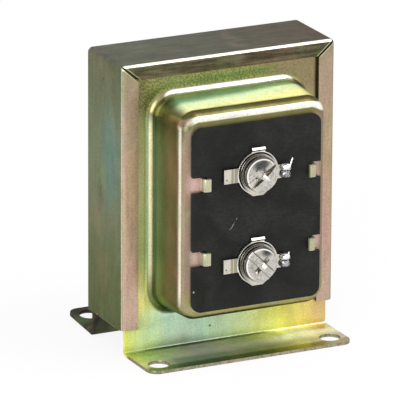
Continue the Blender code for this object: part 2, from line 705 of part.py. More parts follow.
def cut_foot(cover, facing, shift, lift):
    """Mounting holes, and the nicks at the ends of the bend."""
    reach = PLATE_FACE + FOOT_REACH
    y = -facing * (reach - HOLE_EDGE_INSET)
    for end, side in (("left", -1), ("right", 1)):
        x = shift + side * (PLATE_WIDTH / 2 - HOLE_SIDE_INSET)
        cut(cover, upright_bar(cover.name + "_hole_" + end, MOUNT_HOLE / 2, -OVERRUN,
                               SHEET + lift + OVERRUN, x, y))
        nick_y = -facing * PLATE_FACE
        cut(cover, upright_bar(cover.name + "_nick_" + end, FOOT_NOTCH, -OVERRUN,
                               SHEET + FOOT_BEND + FOOT_NOTCH, shift + side * PLATE_WIDTH / 2, nick_y))


def build_cover(name, facing, material):
    """A cover, front (facing 1) or rear (facing -1)."""
    lift, shift = (REAR_FOOT_LIFT, REAR_SHIFT) if facing < 0 else (0, 0)
    shape = cover_surface(lift)
    if facing < 0:
        bmesh.ops.rotate(shape, verts=shape.verts, cent=(0, 0, 0), matrix=Matrix.Rotation(pi, 3, "Z"))
        bmesh.ops.translate(shape, verts=shape.verts, vec=(shift, 0, 0))
    mesh = bpy.data.meshes.new(name)
    shape.to_mesh(mesh)
    shape.free()
    cover = add_object(name, mesh, material)
    thicken(cover, SHEET)
    cut_foot(cover, facing, shift, lift)
    return cover


def clip_heights():
    return (("lower", CLIP_MIDDLE - CLIP_SPACING / 2), ("upper", CLIP_MIDDLE + CLIP_SPACING / 2))


def terminal_heights():
    return (("lower", TERMINAL_MIDDLE - TERMINAL_SPACING / 2),
            ("upper", TERMINAL_MIDDLE + TERMINAL_SPACING / 2))


def coil_exits():
    """Where the two leads leave the coil: nearer the middle than the lugs."""
    (lower, low_z), (upper, high_z) = terminal_heights()
    return ((lower, low_z - LUG_DROP + LEAD_SWING), (upper, high_z - LUG_DROP - LEAD_SWING))


def clip_path(side):
    """Outside of a clip: out of the pan face, up through the notch and in over the board."""
    top = BOARD_FACE + FIT + SHEET
    path = [(CLIP_ROOT, PAN_FACE - SHEET / 2)]
    path += arc((CLIP_ROOT - CLIP_RADIUS, top - CLIP_RADIUS), CLIP_RADIUS, 0, pi / 2, BEND_STEPS)
    path.append((NOTCH_END - CLIP_LAP, top))
    return [(CLIP_SHIFT + side * x, depth) for x, depth in path]


def build_front_cover():
    """The front cover, with the window behind the terminals and the four lanced clips."""
    cover = build_cover("front_cover", 1, STEEL_FRONT)
    back = PAN_FACE - SHEET - OVERRUN
    face = PAN_FACE + OVERRUN
    window = slab("pan_window", rounded_rectangle(-WINDOW_WIDTH / 2, WINDOW_WIDTH / 2,
                                                  TERMINAL_MIDDLE - WINDOW_HEIGHT / 2,
                                                  TERMINAL_MIDDLE + WINDOW_HEIGHT / 2,
                                                  WINDOW_CORNER), back, face)
    cut(cover, window)
    for hand, side in (("left", -1), ("right", 1)):
        near = CLIP_SHIFT + side * CLIP_INSIDE
        far = CLIP_SHIFT + side * (CLIP_INSIDE - LANCED_LENGTH)
        for end, z in clip_heights():
            low = z - CLIP_HEIGHT / 2
            high = z + CLIP_HEIGHT / 2
            gap = slab("lance_" + end + "_" + hand, [(far, low), (near, low), (near, high), (far, high)],
                       back, face)
            cut(cover, gap)
            path = clip_path(side)
            if side > 0:
                path.reverse()
            clip = strip("clip_" + end + "_" + hand, path, low, high, SHEET)
            join(cover, clip)
    shade(cover)


def build_rear_cover():
    shade(build_cover("rear_cover", -1, STEEL_REAR))


# Terminal board

def board_outline():
    """Rounded rectangle with a notch for each clip, counter-clockwise."""
    half = BOARD_WIDTH / 2
    low = BOARD_BOTTOM
    high = BOARD_BOTTOM + BOARD_HEIGHT
    sides = []
    for side in (1, -1):
        edge = arc((half - BOARD_CORNER, low + BOARD_CORNER), BOARD_CORNER, -pi / 2, 0, CORNER_STEPS)
        inner = NOTCH_END + side * CLIP_SHIFT
        for _, z in clip_heights():
            bottom = z - NOTCH_HEIGHT / 2
            top = z + NOTCH_HEIGHT / 2
            edge += [(half, bottom), (inner, bottom), (inner, top), (half, top)]
        edge += arc((half - BOARD_CORNER, high - BOARD_CORNER), BOARD_CORNER, 0, pi / 2, CORNER_STEPS)
        sides.append(edge)
    return sides[0] + [(-x, z) for x, z in reversed(sides[1])]


def build_board():
    board = slab("terminal_board", board_outline(), BOARD_BACK, BOARD_FACE, FIBRE)
    for end, z in terminal_heights():
        cut(board, bar("board_bore_" + end, COLLAR_RADIUS + FIT, BOARD_BACK - OVERRUN,
                       BOARD_FACE + OVERRUN, TERMINAL_SHIFT, z))
        cut(board, bar("board_lead_hole_" + end, LEAD_HOLE / 2, BOARD_BACK - OVERRUN,
                       BOARD_FACE + OVERRUN, LEAD_X, z - LUG_DROP))


# Terminals

def terminal_outline(z):
    """Disc with the left ear, the lower stub and the foot of the top ear."""
    half = EAR_WIDTH / 2
    lug = LUG_WIDTH / 2
    ear_turn = asin(half / TERMINAL_RADIUS)
    lug_low = asin((-LUG_DROP - lug) / TERMINAL_RADIUS)
    lug_high = asin((-LUG_DROP + lug) / TERMINAL_RADIUS)
    steps = ROUND_STEPS // 4
    centre = (0, z)
    points = arc(centre, TERMINAL_RADIUS, lug_high, pi / 2 - ear_turn, steps)
    points += [(half, z + TOP_EAR_REACH), (-half, z + TOP_EAR_REACH)]
    points += arc(centre, TERMINAL_RADIUS, pi / 2 + ear_turn, pi - ear_turn, steps)
    points += [(-LEFT_EAR_REACH, z + half), (-LEFT_EAR_REACH, z - half)]
    points += arc(centre, TERMINAL_RADIUS, pi + ear_turn, pi * 3 / 2 - ear_turn, steps)
    points += [(-half, z - STUB_REACH), (half, z - STUB_REACH)]
    points += arc(centre, TERMINAL_RADIUS, -pi / 2 + ear_turn, lug_low, steps)
    end = (LUG_REACH - lug, z - LUG_DROP)
    points += arc(end, lug, -pi / 2, pi / 2, CORNER_STEPS)
    return [(TERMINAL_SHIFT + x, height) for x, height in points]


def turned_edge(name, z):
    """The top ear's edge, turned up off the board."""
    half = EAR_WIDTH / 2
    fold = z + TOP_EAR_REACH - TERMINAL_SHEET / 2
    shape = bmesh.new()
    rows = []
    for height, depth in ((fold - TERMINAL_SHEET / 2, TERMINAL_FACE), (fold, TERMINAL_FACE),
                          (fold + TOP_EAR_TURN * cos(TOP_EAR_LEAN),
                           TERMINAL_FACE + TOP_EAR_TURN * sin(TOP_EAR_LEAN))):
        rows.append([shape.verts.new((TERMINAL_SHIFT + x, -depth, height)) for x in (-half, half)])
    for near, far in zip(rows, rows[1:]):
        shape.faces.new((near[0], near[1], far[1], far[0]))
    mesh = bpy.data.meshes.new(name)
    shape.to_mesh(mesh)
    shape.free()
    made = add_object(name, mesh)
    thicken(made, TERMINAL_SHEET)
    return made


def turned(name, profile, z, material=None):
    """A body turned about an axis along -Y at a terminal: radius and depth, from the front back."""
    shape = bmesh.new()
    points = [shape.verts.new((radius, 0, depth)) for radius, depth in profile]
    for near, far in zip(points, points[1:]):
        shape.edges.new((near, far))
    mesh = bpy.data.meshes.new(name)
    shape.to_mesh(mesh)
    shape.free()
    made = add_object(name, mesh, material)
    made.location = (TERMINAL_SHIFT, 0, z)
    made.rotation_euler = (pi / 2, 0, 0)
    spin = made.modifiers.new("turn", "SCREW")
    spin.axis = "Z"
    spin.steps = ROUND_STEPS
    spin.render_steps = ROUND_STEPS
    spin.use_merge_vertices = True
    spin.merge_threshold = FIT / 100
    return made


def build_terminal(end, z):
    """The stamped terminal: plate, ears, solder lug and the collar staked through the board."""
    plate = slab(end + "_terminal_plate", terminal_outline(z), TERMINAL_BACK, TERMINAL_FACE, NICKEL)
    join(plate, turned_edge(end + "_top_ear", z))
    flare_face = BOARD_BACK - FIT
    flare_back = flare_face - COLLAR_FLARE
    collar = turned(end + "_collar", [(0, TERMINAL_FACE - TERMINAL_SHEET / 2),
                                      (COLLAR_RADIUS, TERMINAL_FACE - TERMINAL_SHEET / 2),
                                      (COLLAR_RADIUS, flare_face), (RIM_RADIUS, flare_face),
                                      (RIM_RADIUS, flare_face - COLLAR_FLARE / 2),
                                      (RIM_RADIUS - COLLAR_FLARE / 2, flare_back), (0, flare_back)], z)
    join(plate, collar)
    bore = bar(end + "_terminal_bore", BORE_RADIUS, flare_back - OVERRUN, TERMINAL_FACE + OVERRUN,
               TERMINAL_SHIFT, z)
    lead_hole = bar(end + "_lug_hole", LEAD_HOLE / 2, TERMINAL_BACK - OVERRUN,
                    TERMINAL_FACE + OVERRUN, LEAD_X, z - LUG_DROP)
    cut(plate, bore, lead_hole)
    shade(plate)


def head_profile():
    """Half profile of the screw, front to back: domed head, side, seat and shank."""
    sphere = (HEAD_RADIUS * HEAD_RADIUS + HEAD_DOME * HEAD_DOME) / (HEAD_DOME + HEAD_DOME)
    centre = HEAD_TOP - sphere
    spread = acos((sphere - HEAD_DOME) / sphere)
    dome = [(sphere * sin(spread * step / BEND_STEPS), centre + sphere * cos(spread * step / BEND_STEPS))
            for step in range(BEND_STEPS + 1)]
    tip = HEAD_SEAT - SHANK_LENGTH
    lead_in = SHANK_RADIUS / 3
    return dome + [(HEAD_RADIUS, HEAD_SEAT), (SHANK_RADIUS, HEAD_SEAT), (SHANK_RADIUS, tip + lead_in),
                   (SHANK_RADIUS - lead_in, tip), (0, tip)]


def recess_bar(name, z, turn, length, floor, width, depth):
    """A bar that sinks a recess in the head, turned about the screw axis, with sloping ends."""
    place = Matrix.Translation((TERMINAL_SHIFT, 0, z)) @ Matrix.Rotation(-turn, 4, "Y")
    bottom = HEAD_TOP - depth
    top = HEAD_TOP + OVERRUN
    over = length + (length - floor) * OVERRUN / depth
    shape = bmesh.new()
    rings = []
    for reach, level in ((floor / 2, bottom), (over / 2, top)):
        corners = ((-reach, -width / 2), (reach, -width / 2), (reach, width / 2), (-reach, width / 2))
        rings.append([shape.verts.new(place @ Vector((x, -level, side))) for x, side in corners])
    for ring in rings:
        shape.faces.new(ring)
    for side in range(4):
        after = (side + 1) % 4
        shape.faces.new((rings[0][side], rings[0][after], rings[1][after], rings[1][side]))
    return to_object(name, shape)


def build_screw(end, z, turn):
    """A combination head screw: a slot right across, and a cross in the middle."""
    screw = turned(end + "_terminal_screw", head_profile(), z, SCREW_NICKEL)
    right_across = HEAD_RADIUS + HEAD_RADIUS + OVERRUN
    slot = recess_bar(end + "_slot", z, turn, right_across, right_across, SLOT_WIDTH, SLOT_DEPTH)
    along = recess_bar(end + "_cross_along", z, turn, CROSS_LENGTH, CROSS_FLOOR,
                       CROSS_WIDTH, CROSS_DEPTH)
    across = recess_bar(end + "_cross_across", z, turn + pi / 2, CROSS_LENGTH, CROSS_FLOOR,
                        CROSS_WIDTH, CROSS_DEPTH)
    cut(screw, slot, along, across)
    shade(screw)


def squared(turn):
    """How far a squared-off round reaches in a direction, against a circle of the same size."""
    return 1 / (abs(cos(turn)) ** 3 + abs(sin(turn)) ** 3) ** (1 / 3)


def build_solder(end, z, tail_length):
    """A lump of solder on the lug, with the tinned wire end standing out of it."""
    middle = Vector((TERMINAL_SHIFT + LUG_REACH - SOLDER_LENGTH / 2, -(TERMINAL_FACE + FIT),
                     z + SOLDER_LIFT))
    shape = bmesh.new()
    rings = []
    for level in range(BEND_STEPS):
        swell = pi / 2 * level / BEND_STEPS
        ring = []
        for step in range(SOLDER_STEPS):
            turn = 2 * pi * step / SOLDER_STEPS
            reach = squared(turn) * cos(swell)
            ring.append(shape.verts.new(middle + Vector((reach * cos(turn) * SOLDER_LENGTH / 2,
                                                         -sin(swell) * SOLDER_RISE,
                                                         reach * sin(turn) * SOLDER_HEIGHT / 2))))
        rings.append(ring)
    for near, far in zip(rings, rings[1:]):
        for side in range(SOLDER_STEPS):
            after = (side + 1) % SOLDER_STEPS
            shape.faces.new((near[side], near[after], far[after], far[side]))
    shape.faces.new(rings[0])
    crown = shape.verts.new(middle + Vector((0, -SOLDER_RISE, 0)))
    for side in range(SOLDER_STEPS):
        shape.faces.new((rings[-1][side], rings[-1][(side + 1) % SOLDER_STEPS], crown))
    solder = to_object(end + "_solder_joint", shape, SOLDER)
    tail_shape = bmesh.new()
    foot = middle + Vector((SOLDER_LENGTH / 5, -SOLDER_RISE / 2, 0))
    place = (Matrix.Translation(foot) @ Matrix.Rotation(TAIL_LEAN, 4, "Y")
             @ Matrix.Translation((0, 0, tail_length / 2)))
    bmesh.ops.create_cone(tail_shape, cap_ends=True, segments=SOLDER_STEPS // 2, radius1=TAIL_RADIUS,
                          radius2=TAIL_RADIUS, depth=tail_length, matrix=place)
    join(solder, to_object(end + "_wire_tail", tail_shape))
    shade(solder)


def lead_route(lug_z, coil_z):
    """Middle line of a lead: straight out through the liner, then across to the hole in the lug."""
    leave = LINER_FACE + FIT
    arrive = BOARD_BACK - FIT
    points = [(LEAD_X, COIL_FACE + FIT, coil_z)]
    for step in range(LEAD_STEPS + 1):
        share = step / LEAD_STEPS
        swing = (1 - cos(pi * share)) / 2
        points.append((LEAD_X, leave + (arrive - leave) * share, coil_z + (lug_z - coil_z) * swing))
    points.append((LEAD_X, TERMINAL_FACE, lug_z))
    return points


def tube(name, route, radius, material=None):
    """A round wire along a route of points, as a mesh with closed ends."""
    curve = bpy.data.curves.new(name, "CURVE")
    curve.dimensions = "3D"
    curve.bevel_depth = radius
    curve.bevel_resolution = 2
    curve.use_fill_caps = True
    line = curve.splines.new("POLY")
    line.points.add(len(route) - 1)
    for point, (x, depth, z) in zip(line.points, route):
        point.co = (x, -depth, z, 1)
    guide = bpy.data.objects.new(name + "_line", curve)
    CUTTERS.objects.link(guide)
    bpy.context.view_layer.update()
    mesh = bpy.data.meshes.new_from_object(guide.evaluated_get(bpy.context.evaluated_depsgraph_get()))
    bpy.data.objects.remove(guide, do_unlink=True)
    shape = bmesh.new()
    shape.from_mesh(mesh)
    bmesh.ops.remove_doubles(shape, verts=shape.verts, dist=FIT / 100)
    return to_object(name, shape, material)


def build_leads():
    """The two secondary leads, each in its sleeve, from the coil to the solder lugs."""
    for (end, z), (_, coil_z) in zip(terminal_heights(), coil_exits()):
        route = lead_route(z - LUG_DROP, coil_z)
        tube(end + "_secondary_lead", route, LEAD_RADIUS, TINNED_WIRE)
        sleeve = tube(end + "_lead_sleeve", route[:-1], SLEEVE_RADIUS, SLEEVING)
        cut(sleeve, tube(end + "_sleeve_bore", route, LEAD_RADIUS + FIT))


def main():
    build_core()
    build_coil()
    build_liners()
    build_band()
    build_front_cover()
    build_rear_cover()
    build_board()
    turns = (LOWER_SLOT_TURN, UPPER_SLOT_TURN)
    tails = (LOWER_TAIL, UPPER_TAIL)
    for (end, z), turn, tail_length in zip(terminal_heights(), turns, tails):
        build_terminal(end, z)
        build_screw(end, z, turn)
        build_solder(end, z, tail_length)
    build_leads()


main()
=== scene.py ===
"""Looks of a lighting transformer in a case of yellow-passivated sheet steel.

Everything stands in the row frame, in metres: +Z up, front towards -Y, soles of the feet on Z = 0.
The case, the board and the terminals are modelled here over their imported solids, with rounder
bends and eased edges. The core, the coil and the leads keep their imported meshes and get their
finishes here.
"""

import logging
from dataclasses import dataclass
from enum import Enum
from functools import cached_property
from math import acos, asin, atan2, cos, hypot, pi, radians, sin, tan
from typing import Any, Mapping, NamedTuple, Sequence

import bmesh
import bpy
from mathutils import Matrix, Vector

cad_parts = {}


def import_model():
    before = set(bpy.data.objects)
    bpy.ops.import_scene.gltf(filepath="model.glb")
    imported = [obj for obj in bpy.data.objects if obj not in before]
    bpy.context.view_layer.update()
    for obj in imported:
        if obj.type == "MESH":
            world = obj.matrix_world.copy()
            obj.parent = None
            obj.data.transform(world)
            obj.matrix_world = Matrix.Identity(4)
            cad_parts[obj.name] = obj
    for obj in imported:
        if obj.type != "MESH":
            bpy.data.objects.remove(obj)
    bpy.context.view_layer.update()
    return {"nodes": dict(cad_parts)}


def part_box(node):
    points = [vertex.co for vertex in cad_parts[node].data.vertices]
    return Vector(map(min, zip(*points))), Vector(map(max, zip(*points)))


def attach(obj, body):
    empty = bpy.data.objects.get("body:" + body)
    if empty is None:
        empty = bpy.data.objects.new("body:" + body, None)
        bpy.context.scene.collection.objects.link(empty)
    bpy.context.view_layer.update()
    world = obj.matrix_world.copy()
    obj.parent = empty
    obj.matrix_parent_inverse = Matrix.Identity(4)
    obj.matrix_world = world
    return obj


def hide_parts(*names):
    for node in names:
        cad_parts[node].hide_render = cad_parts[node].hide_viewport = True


FRAME: dict[str, Any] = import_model()
LOG = logging.getLogger("transformer")

Point = tuple[float, float]
Place = tuple[float, float, float]
Colour = tuple[float, float, float, float]
Stops = tuple[tuple[float, tuple[int, int, int]], ...]
Material = bpy.types.Material
Inputs = Mapping[str | int, Any]

SHEET = 0.0008            # steel of the band and of both covers
FIT = 0.0003              # clearance between pieces that touch
CASE_HALF = 0.029         # half the width of the case
CASE_TOP = 0.0744         # height of the case's top
SIDE_FLANGE = 0.0045      # width of the band's turned-in edge at each side
TOP_FLANGE = 0.0039       # its width along the top
PAN_WIDTH = 0.0410        # width of a pan where it meets its plate
CLIP_SPACING = 0.0188     # between the two clips of a side
CLIP_DROP = 0.0003        # how far the clips sit below the board's middle
CLIP_SHIFT = 0.0005       # how far they sit to the right of it
MERGE = FIT / 100         # points closer than this are one
OVERRUN = 0.002           # how far a cutter runs past what it cuts
FAR = 1.0                 # a reach past every edge of the object
CRISP = 0.0001            # half the softness of a crisp edge of a tint
FLAT_TURN = radians(0.4)  # faces that turn less than this are one flat face
EASE_TURN = radians(32)   # edges that turn more than this are eased
HARD_TURN = radians(50)   # edges that turn more than this are shaded sharp
EASE_STEPS = 2            # facets of an eased edge
FACE_WEIGHT = 80          # how much a large face leads the shading of its rim
BODY = "root"


def paint(red: int, green: int, blue: int) -> Colour:
    """Turn a colour as the eye reads it, 0 to 255, into the shader's linear light.

    Args:
        red: Red share.
        green: Green share.
        blue: Blue share.

    Returns:
        The linear colour with full alpha.
    """
    knee = 0.04045
    slope = 12.92
    offset = 0.055
    power = 2.4
    shares = [value / 255 for value in (red, green, blue)]
    linear = [s / slope if s <= knee else ((s + offset) / (1 + offset)) ** power for s in shares]
    return (linear[0], linear[1], linear[2], 1.0)


# Words for looks

class Tint(Enum):
    """Colours that the passivated zinc takes, and the painted highlights, shade and dark reflections
    laid over them.
    """

    SEA = paint(108, 139, 127)
    # a brown smudge on the side, and also a painted shadow line beside the band's edges
    UMBER = paint(104, 92, 74)
    BROW = paint(100, 90, 70)
    ROSE = paint(186, 156, 130)
    MAUVE = paint(184, 150, 150)
    BLUSH = paint(226, 204, 194)
    PETAL = paint(202, 168, 160)
    TAUPE = paint(150, 127, 112)
    # painted highlight, dimmer, at the left end of the pan's nose
    COPPERY = paint(176, 140, 122)
    BUFF = paint(152, 130, 100)
    OAT = paint(186, 182, 154)
    OAT_DEEP = paint(178, 172, 142)
    FERN = paint(120, 150, 100)
    MOSS = paint(112, 140, 86)
    CRUST = paint(66, 80, 44)
    OLIVE = paint(84, 86, 54)
    # painted shade under the pan
    BOTTLE = paint(46, 48, 24)
    REED = paint(164, 156, 98)
    KHAKI = paint(116, 114, 60)
    # painted shade on the pan's root, low down and at its corners
    RUSH = paint(118, 120, 70)
    OCHRE = paint(124, 116, 62)
    # painted dark reflection next to the pan's nose
    PEAT = paint(92, 86, 48)
    BRONZE = paint(92, 80, 54)
    # painted highlights on bends, rounds and mitre edges
    CREAM = paint(252, 248, 232)
    IVORY = paint(250, 238, 220)
    STRAW = paint(232, 226, 176)
    CUT = paint(128, 118, 100)
    CUT_LIGHT = paint(158, 148, 128)
    EDGE = (0.6, 0.6, 0.56, 1.0)
    PITCH = paint(52, 50, 42)
    # painted dark reflection on the rear cover's foot
    FOOT_REFLECTION = paint(44, 42, 37)
    FOOT_REFLECTION_LIGHT = paint(58, 54, 47)
    # painted shade: black under the band's edges and in a spot on the pan's nose
    PAINTED_SHADE = paint(30, 28, 22)


class Rise(NamedTuple):
    """A soft step: where it is 0 and where it is 1, either way round."""

    none: float
    full: float


class Strip(NamedTuple):
    """A strip of values: its start, its end and the softness of both edges."""

    low: float
    high: float
    soft: float


class Level(NamedTuple):
    """A number that follows a mask: what it is at 0, and how much more it is at 1."""

    least: float
    more: float


class Coat(NamedTuple):
    """A tint, and the share of what lies under it that it covers."""

    tint: Tint | Colour
    share: float


class Mark(NamedTuple):
    """A soft mark: its middle, and how far it reaches along X, Y and Z."""

    centre: Place
    reach: Place


class Grain(NamedTuple):
    """A cloudy variation.

    Its blotches have a size, a number of finer layers, a squeeze along X, Y and Z, and a swirl
    that folds them into themselves.
    """

    size: float
    detail: float = 2.0
    stretch: Place = (1.0, 1.0, 1.0)
    swirl: float = 0.0


class Specks(NamedTuple):
    """Sparse round specks.

    The cells that may hold one have a spacing, and a speck's radius is a share of it. Specks
    keep to the patches of a coarser variation.
    """

    spacing: float
    share: float
    coarser: float = 2.7
    patches: Rise = Rise(0.6, 0.68)


DRIFT = Grain(0.011, swirl=0.6)
SPOT_EDGE = Rise(1.0, 0.25)


# Shader trees

@dataclass(frozen=True)
class Signal:
    """An output socket that adds Math nodes when it meets a number or another signal."""

    tree: "Tree"
    socket: bpy.types.NodeSocket

    def _math(self, operation: str, first: Any, second: Any) -> "Signal":
        """Result of one Math node."""
        return self.tree.node("Math", {"operation": operation}, {0: first, 1: second})

    def __add__(self, other: Any) -> "Signal":
        """Sum."""
        return self._math("ADD", self, other)

    def __radd__(self, other: Any) -> "Signal":
        """Sum, number first."""
        return self._math("ADD", other, self)

    def __sub__(self, other: Any) -> "Signal":
        """Difference."""
        return self._math("SUBTRACT", self, other)

    def __rsub__(self, other: Any) -> "Signal":
        """Difference, number first."""
        return self._math("SUBTRACT", other, self)

    def __mul__(self, other: Any) -> "Signal":
        """Product."""
        return self._math("MULTIPLY", self, other)

    def __rmul__(self, other: Any) -> "Signal":
        """Product, number first."""
        return self._math("MULTIPLY", other, self)

    def __truediv__(self, other: Any) -> "Signal":
        """Quotient."""
        return self._math("DIVIDE", self, other)

    def __abs__(self) -> "Signal":
        """Size without sign."""
        return self._math("ABSOLUTE", self, 0.0)

    def or_more(self, other: Any) -> "Signal":
        """The greater of this and another."""
        return self._math("MAXIMUM", self, other)

    def level(self, level: Level) -> "Signal":
        """The number that follows this mask."""
        return level.least + self * level.more

    def uneven(self, reach: float) -> "Signal":
        """This, straying by a share of the tree's drift, which makes what follows it uneven."""
        return self + self.tree.drift * reach

    def step(self, rise: Rise) -> "Signal":
        """A soft step.

        Args:
            rise: Where it is 0 and where it is 1.

        Returns:
            The step, from 0 to 1.
        """
        low, high = rise
        if low > high:
            return 1 - self.step(Rise(high, low))
        settings = {"interpolation_type": "SMOOTHSTEP", "clamp": True}
        inputs = {"Value": self, "From Min": low, "From Max": high}
        return self.tree.node("MapRange", settings, inputs)

    def within(self, strip: Strip) -> "Signal":
        """1 on a strip of values, falling to 0 over its soft edges.

        Args:
            strip: The strip.

        Returns:
            The mask, from 0 to 1.
        """
        low, high, soft = strip
        return self.step(Rise(low - soft, low + soft)) * self.step(Rise(high + soft, high - soft))

    def wave(self, pitch: float) -> "Signal":
        """A sine that repeats every pitch, from 0 to 1."""
        return self._math("SINE", self * (2 * pi / pitch), 0.0) * 0.5 + 0.5


class Axes(NamedTuple):
    """A vector's shares: X to the right, Y to the back and Z up."""

    x: Signal
    y: Signal
    z: Signal


class Tree:
    """The node tree of one finish, or of the world."""

    def __init__(self, owner: Material | bpy.types.World) -> None:
        """Start with an empty tree.

        Args:
            owner: The material or the world that the tree belongs to.
        """
        owner.use_nodes = True
        owner.node_tree.nodes.clear()
        self.owner = owner

    @classmethod
    def of_finish(cls, name: str) -> "Tree":
        """Tree of a new material."""
        return cls(bpy.data.materials.new(name))

    def _add(self, kind: str, settings: Mapping[str, Any], inputs: Inputs) -> bpy.types.Node:
        """Add one node: its settings first, then the values and links of its sockets.

        Args:
            kind: The node's type, without the words that all shader nodes start with.
            settings: Properties of the node; stops are the stops of a ramp.
            inputs: A number, a colour, a tint or a signal for each socket, by name or place.

        Returns:
            The node.
        """
        tree = self.owner.node_tree
        made = tree.nodes.new("ShaderNode" + kind)
        for name, value in settings.items():
            if name == "stops":
                self._set_stops(made.color_ramp.elements, value)
            else:
                setattr(made, name, value)
        for name, value in inputs.items():
            if isinstance(value, Signal):
                tree.links.new(value.socket, made.inputs[name])
            else:
                made.inputs[name].default_value = value.value if isinstance(value, Tint) else value
        return made

    def node(self, kind: str, settings: Mapping[str, Any], inputs: Inputs,
             output: str | int = 0) -> Signal:
        """Add one node and take one of its outputs, by name or place."""
        return Signal(self, self._add(kind, settings, inputs).outputs[output])

    @staticmethod
    def _set_stops(elements: Any, stops: Stops) -> None:
        """Give a ramp its stops.

        Args:
            elements: The ramp's own list.
            stops: Place and colour of each stop, in order.
        """
        while len(elements) < len(stops):
            elements.new(1.0)
        for element, (place, colour) in zip(elements, stops):
            element.position = place
            element.color = paint(*colour)

    @cached_property
    def place(self) -> Signal:
        """Place on the piece, in metres."""
        return self.node("TexCoord", {}, {}, "Object")

    @cached_property
    def at(self) -> Axes:
        """Place on the piece, as X, Y and Z."""
        return self._split(self.place)

    @cached_property
    def facing(self) -> Axes:
        """The way the surface faces, as X, Y and Z."""
        return self._split(self.node("TexCoord", {}, {}, "Normal"))

    @cached_property
    def drift(self) -> Signal:
        """Broad variation about zero."""
        return self.noise(DRIFT) - 0.5

    def _split(self, vector: Signal) -> Axes:
        """Shares of a vector."""
        outputs = self._add("SeparateXYZ", {}, {0: vector}).outputs
        return Axes(*(Signal(self, outputs[name]) for name in ("X", "Y", "Z")))

    def vector(self, operation: str, first: Signal, second: Sequence[float]) -> Signal:
        """A vector met by a fixed vector."""
        return self.node("VectorMath", {"operation": operation}, {0: first, 1: tuple(second)})

    def length(self, vector: Signal) -> Signal:
        """Length of a vector."""
        return self.node("VectorMath", {"operation": "LENGTH"}, {0: vector}, "Value")

    def noise(self, grain: Grain) -> Signal:
        """Cloudy variation from 0 to 1.

        Args:
            grain: Its size, detail, stretch and swirl.

        Returns:
            The variation.
        """
        at = self.vector("MULTIPLY", self.place, grain.stretch)
        inputs = {"Vector": at, "Scale": 1 / grain.size, "Detail": grain.detail,
                  "Distortion": grain.swirl}
        return self.node("TexNoise", {}, inputs)

    def specks(self, specks: Specks) -> Signal:
        """Sparse round specks.

        Args:
            specks: Their spacing and size.

        Returns:
            1 on a speck.
        """
        inputs = {"Vector": self.place, "Scale": 1 / specks.spacing}
        near = self.node("TexVoronoi", {}, inputs, "Distance")
        coarse = self.noise(Grain(specks.spacing * specks.coarser))
        return near.step(Rise(specks.share, specks.share / 2)) * coarse.step(specks.patches)

    def mix(self, first: Any, second: Any, factor: Any) -> Signal:
        """Blend two colours."""
        return self.node("Mix", {"data_type": "RGBA"}, {0: factor, 6: first, 7: second}, 2)

    def lay(self, colour: Any, coat: Coat, mask: Signal) -> Signal:
        """Lay a coat over a colour, as far as the mask reaches."""
        return self.mix(colour, coat.tint, mask * coat.share)

    def shade(self, colour: Any, factor: Signal) -> Signal:
        """Multiply a colour by a number."""
        base = colour if isinstance(colour, Signal) else colour[:3]
        return self.node("VectorMath", {"operation": "SCALE"}, {0: base, 3: factor})

    def ramp(self, value: Signal, low: float, high: float, stops: Stops) -> Signal:
        """Colours along a value.

        Args:
            value: What drives the ramp.
            low: Value at the ramp's start.
            high: Value at its end.
            stops: Share of the way and colour of each stop.

        Returns:
            The colour.
        """
        inputs = {"Value": value, "From Min": low, "From Max": high}
        share = self.node("MapRange", {"clamp": True}, inputs)
        return self.node("ValToRGB", {"stops": stops}, {0: share})

    def spot(self, mark: Mark, warp: Any = 0.0) -> Signal:
        """1 in the middle of a mark, 0 outside; the warp makes its outline uneven."""
        away = self.vector("SUBTRACT", self.place, mark.centre)
        return (self.length(self.vector("DIVIDE", away, mark.reach)) + warp).step(SPOT_EDGE)

    def radius(self, axis: Vector) -> Signal:
        """Distance from an axis along Y."""
        away = self.vector("SUBTRACT", self.place, axis)
        return self.length(self.vector("MULTIPLY", away, (1, 0, 1)))

    def bump(self, height: Signal, depth: float, after: Signal | None = None) -> Signal:
        """Relief of the surface.

        Args:
            height: Height from 0 to 1.
            depth: What 1 stands for, in metres.
            after: Relief that this one is added to.

        Returns:
            The normal.
        """
        inputs: dict[str | int, Any] = {"Height": height, "Distance": depth, "Strength": 1.0}
        if after is not None:
            inputs["Normal"] = after
        return self.node("Bump", {}, inputs)

    def seen(self) -> Signal:
        """1 for rays from the camera, from gloss and through glass, 0 for light.

        Returns:
            The share.
        """
        outputs = self._add("LightPath", {}, {}).outputs
        camera, gloss, glass = (Signal(self, outputs[name]) for name in
                                ("Is Camera Ray", "Is Glossy Ray", "Is Transmission Ray"))
        return camera.or_more(gloss).or_more(glass)

    def close(self, shader: Signal) -> Any:
        """Lead a shader to the output.

        Args:
            shader: The shader.

        Returns:
            The finished material or world.
        """
        kind = "OutputWorld" if isinstance(self.owner, bpy.types.World) else "OutputMaterial"
        self._add(kind, {}, {"Surface": shader})
        return self.owner

    def surface(self, colour: Signal, metallic: Any, rough: Any, relief: Signal,
                **more: Any) -> Material:
        """Close the tree with one Principled shader.

        Args:
            colour: Its base colour.
            metallic: How metallic it is.
            rough: Its roughness.
            relief: Its normal.
            **more: Values of other sockets, with low lines for the spaces in their names.

        Returns:
            The finished material.
        """
        inputs = {"Base Color": colour, "Metallic": metallic, "Roughness": rough, "Normal": relief}
        inputs.update({name.replace("_", " "): value for name, value in more.items()})
        return self.close(self.node("BsdfPrincipled", {}, inputs))


# Finishes

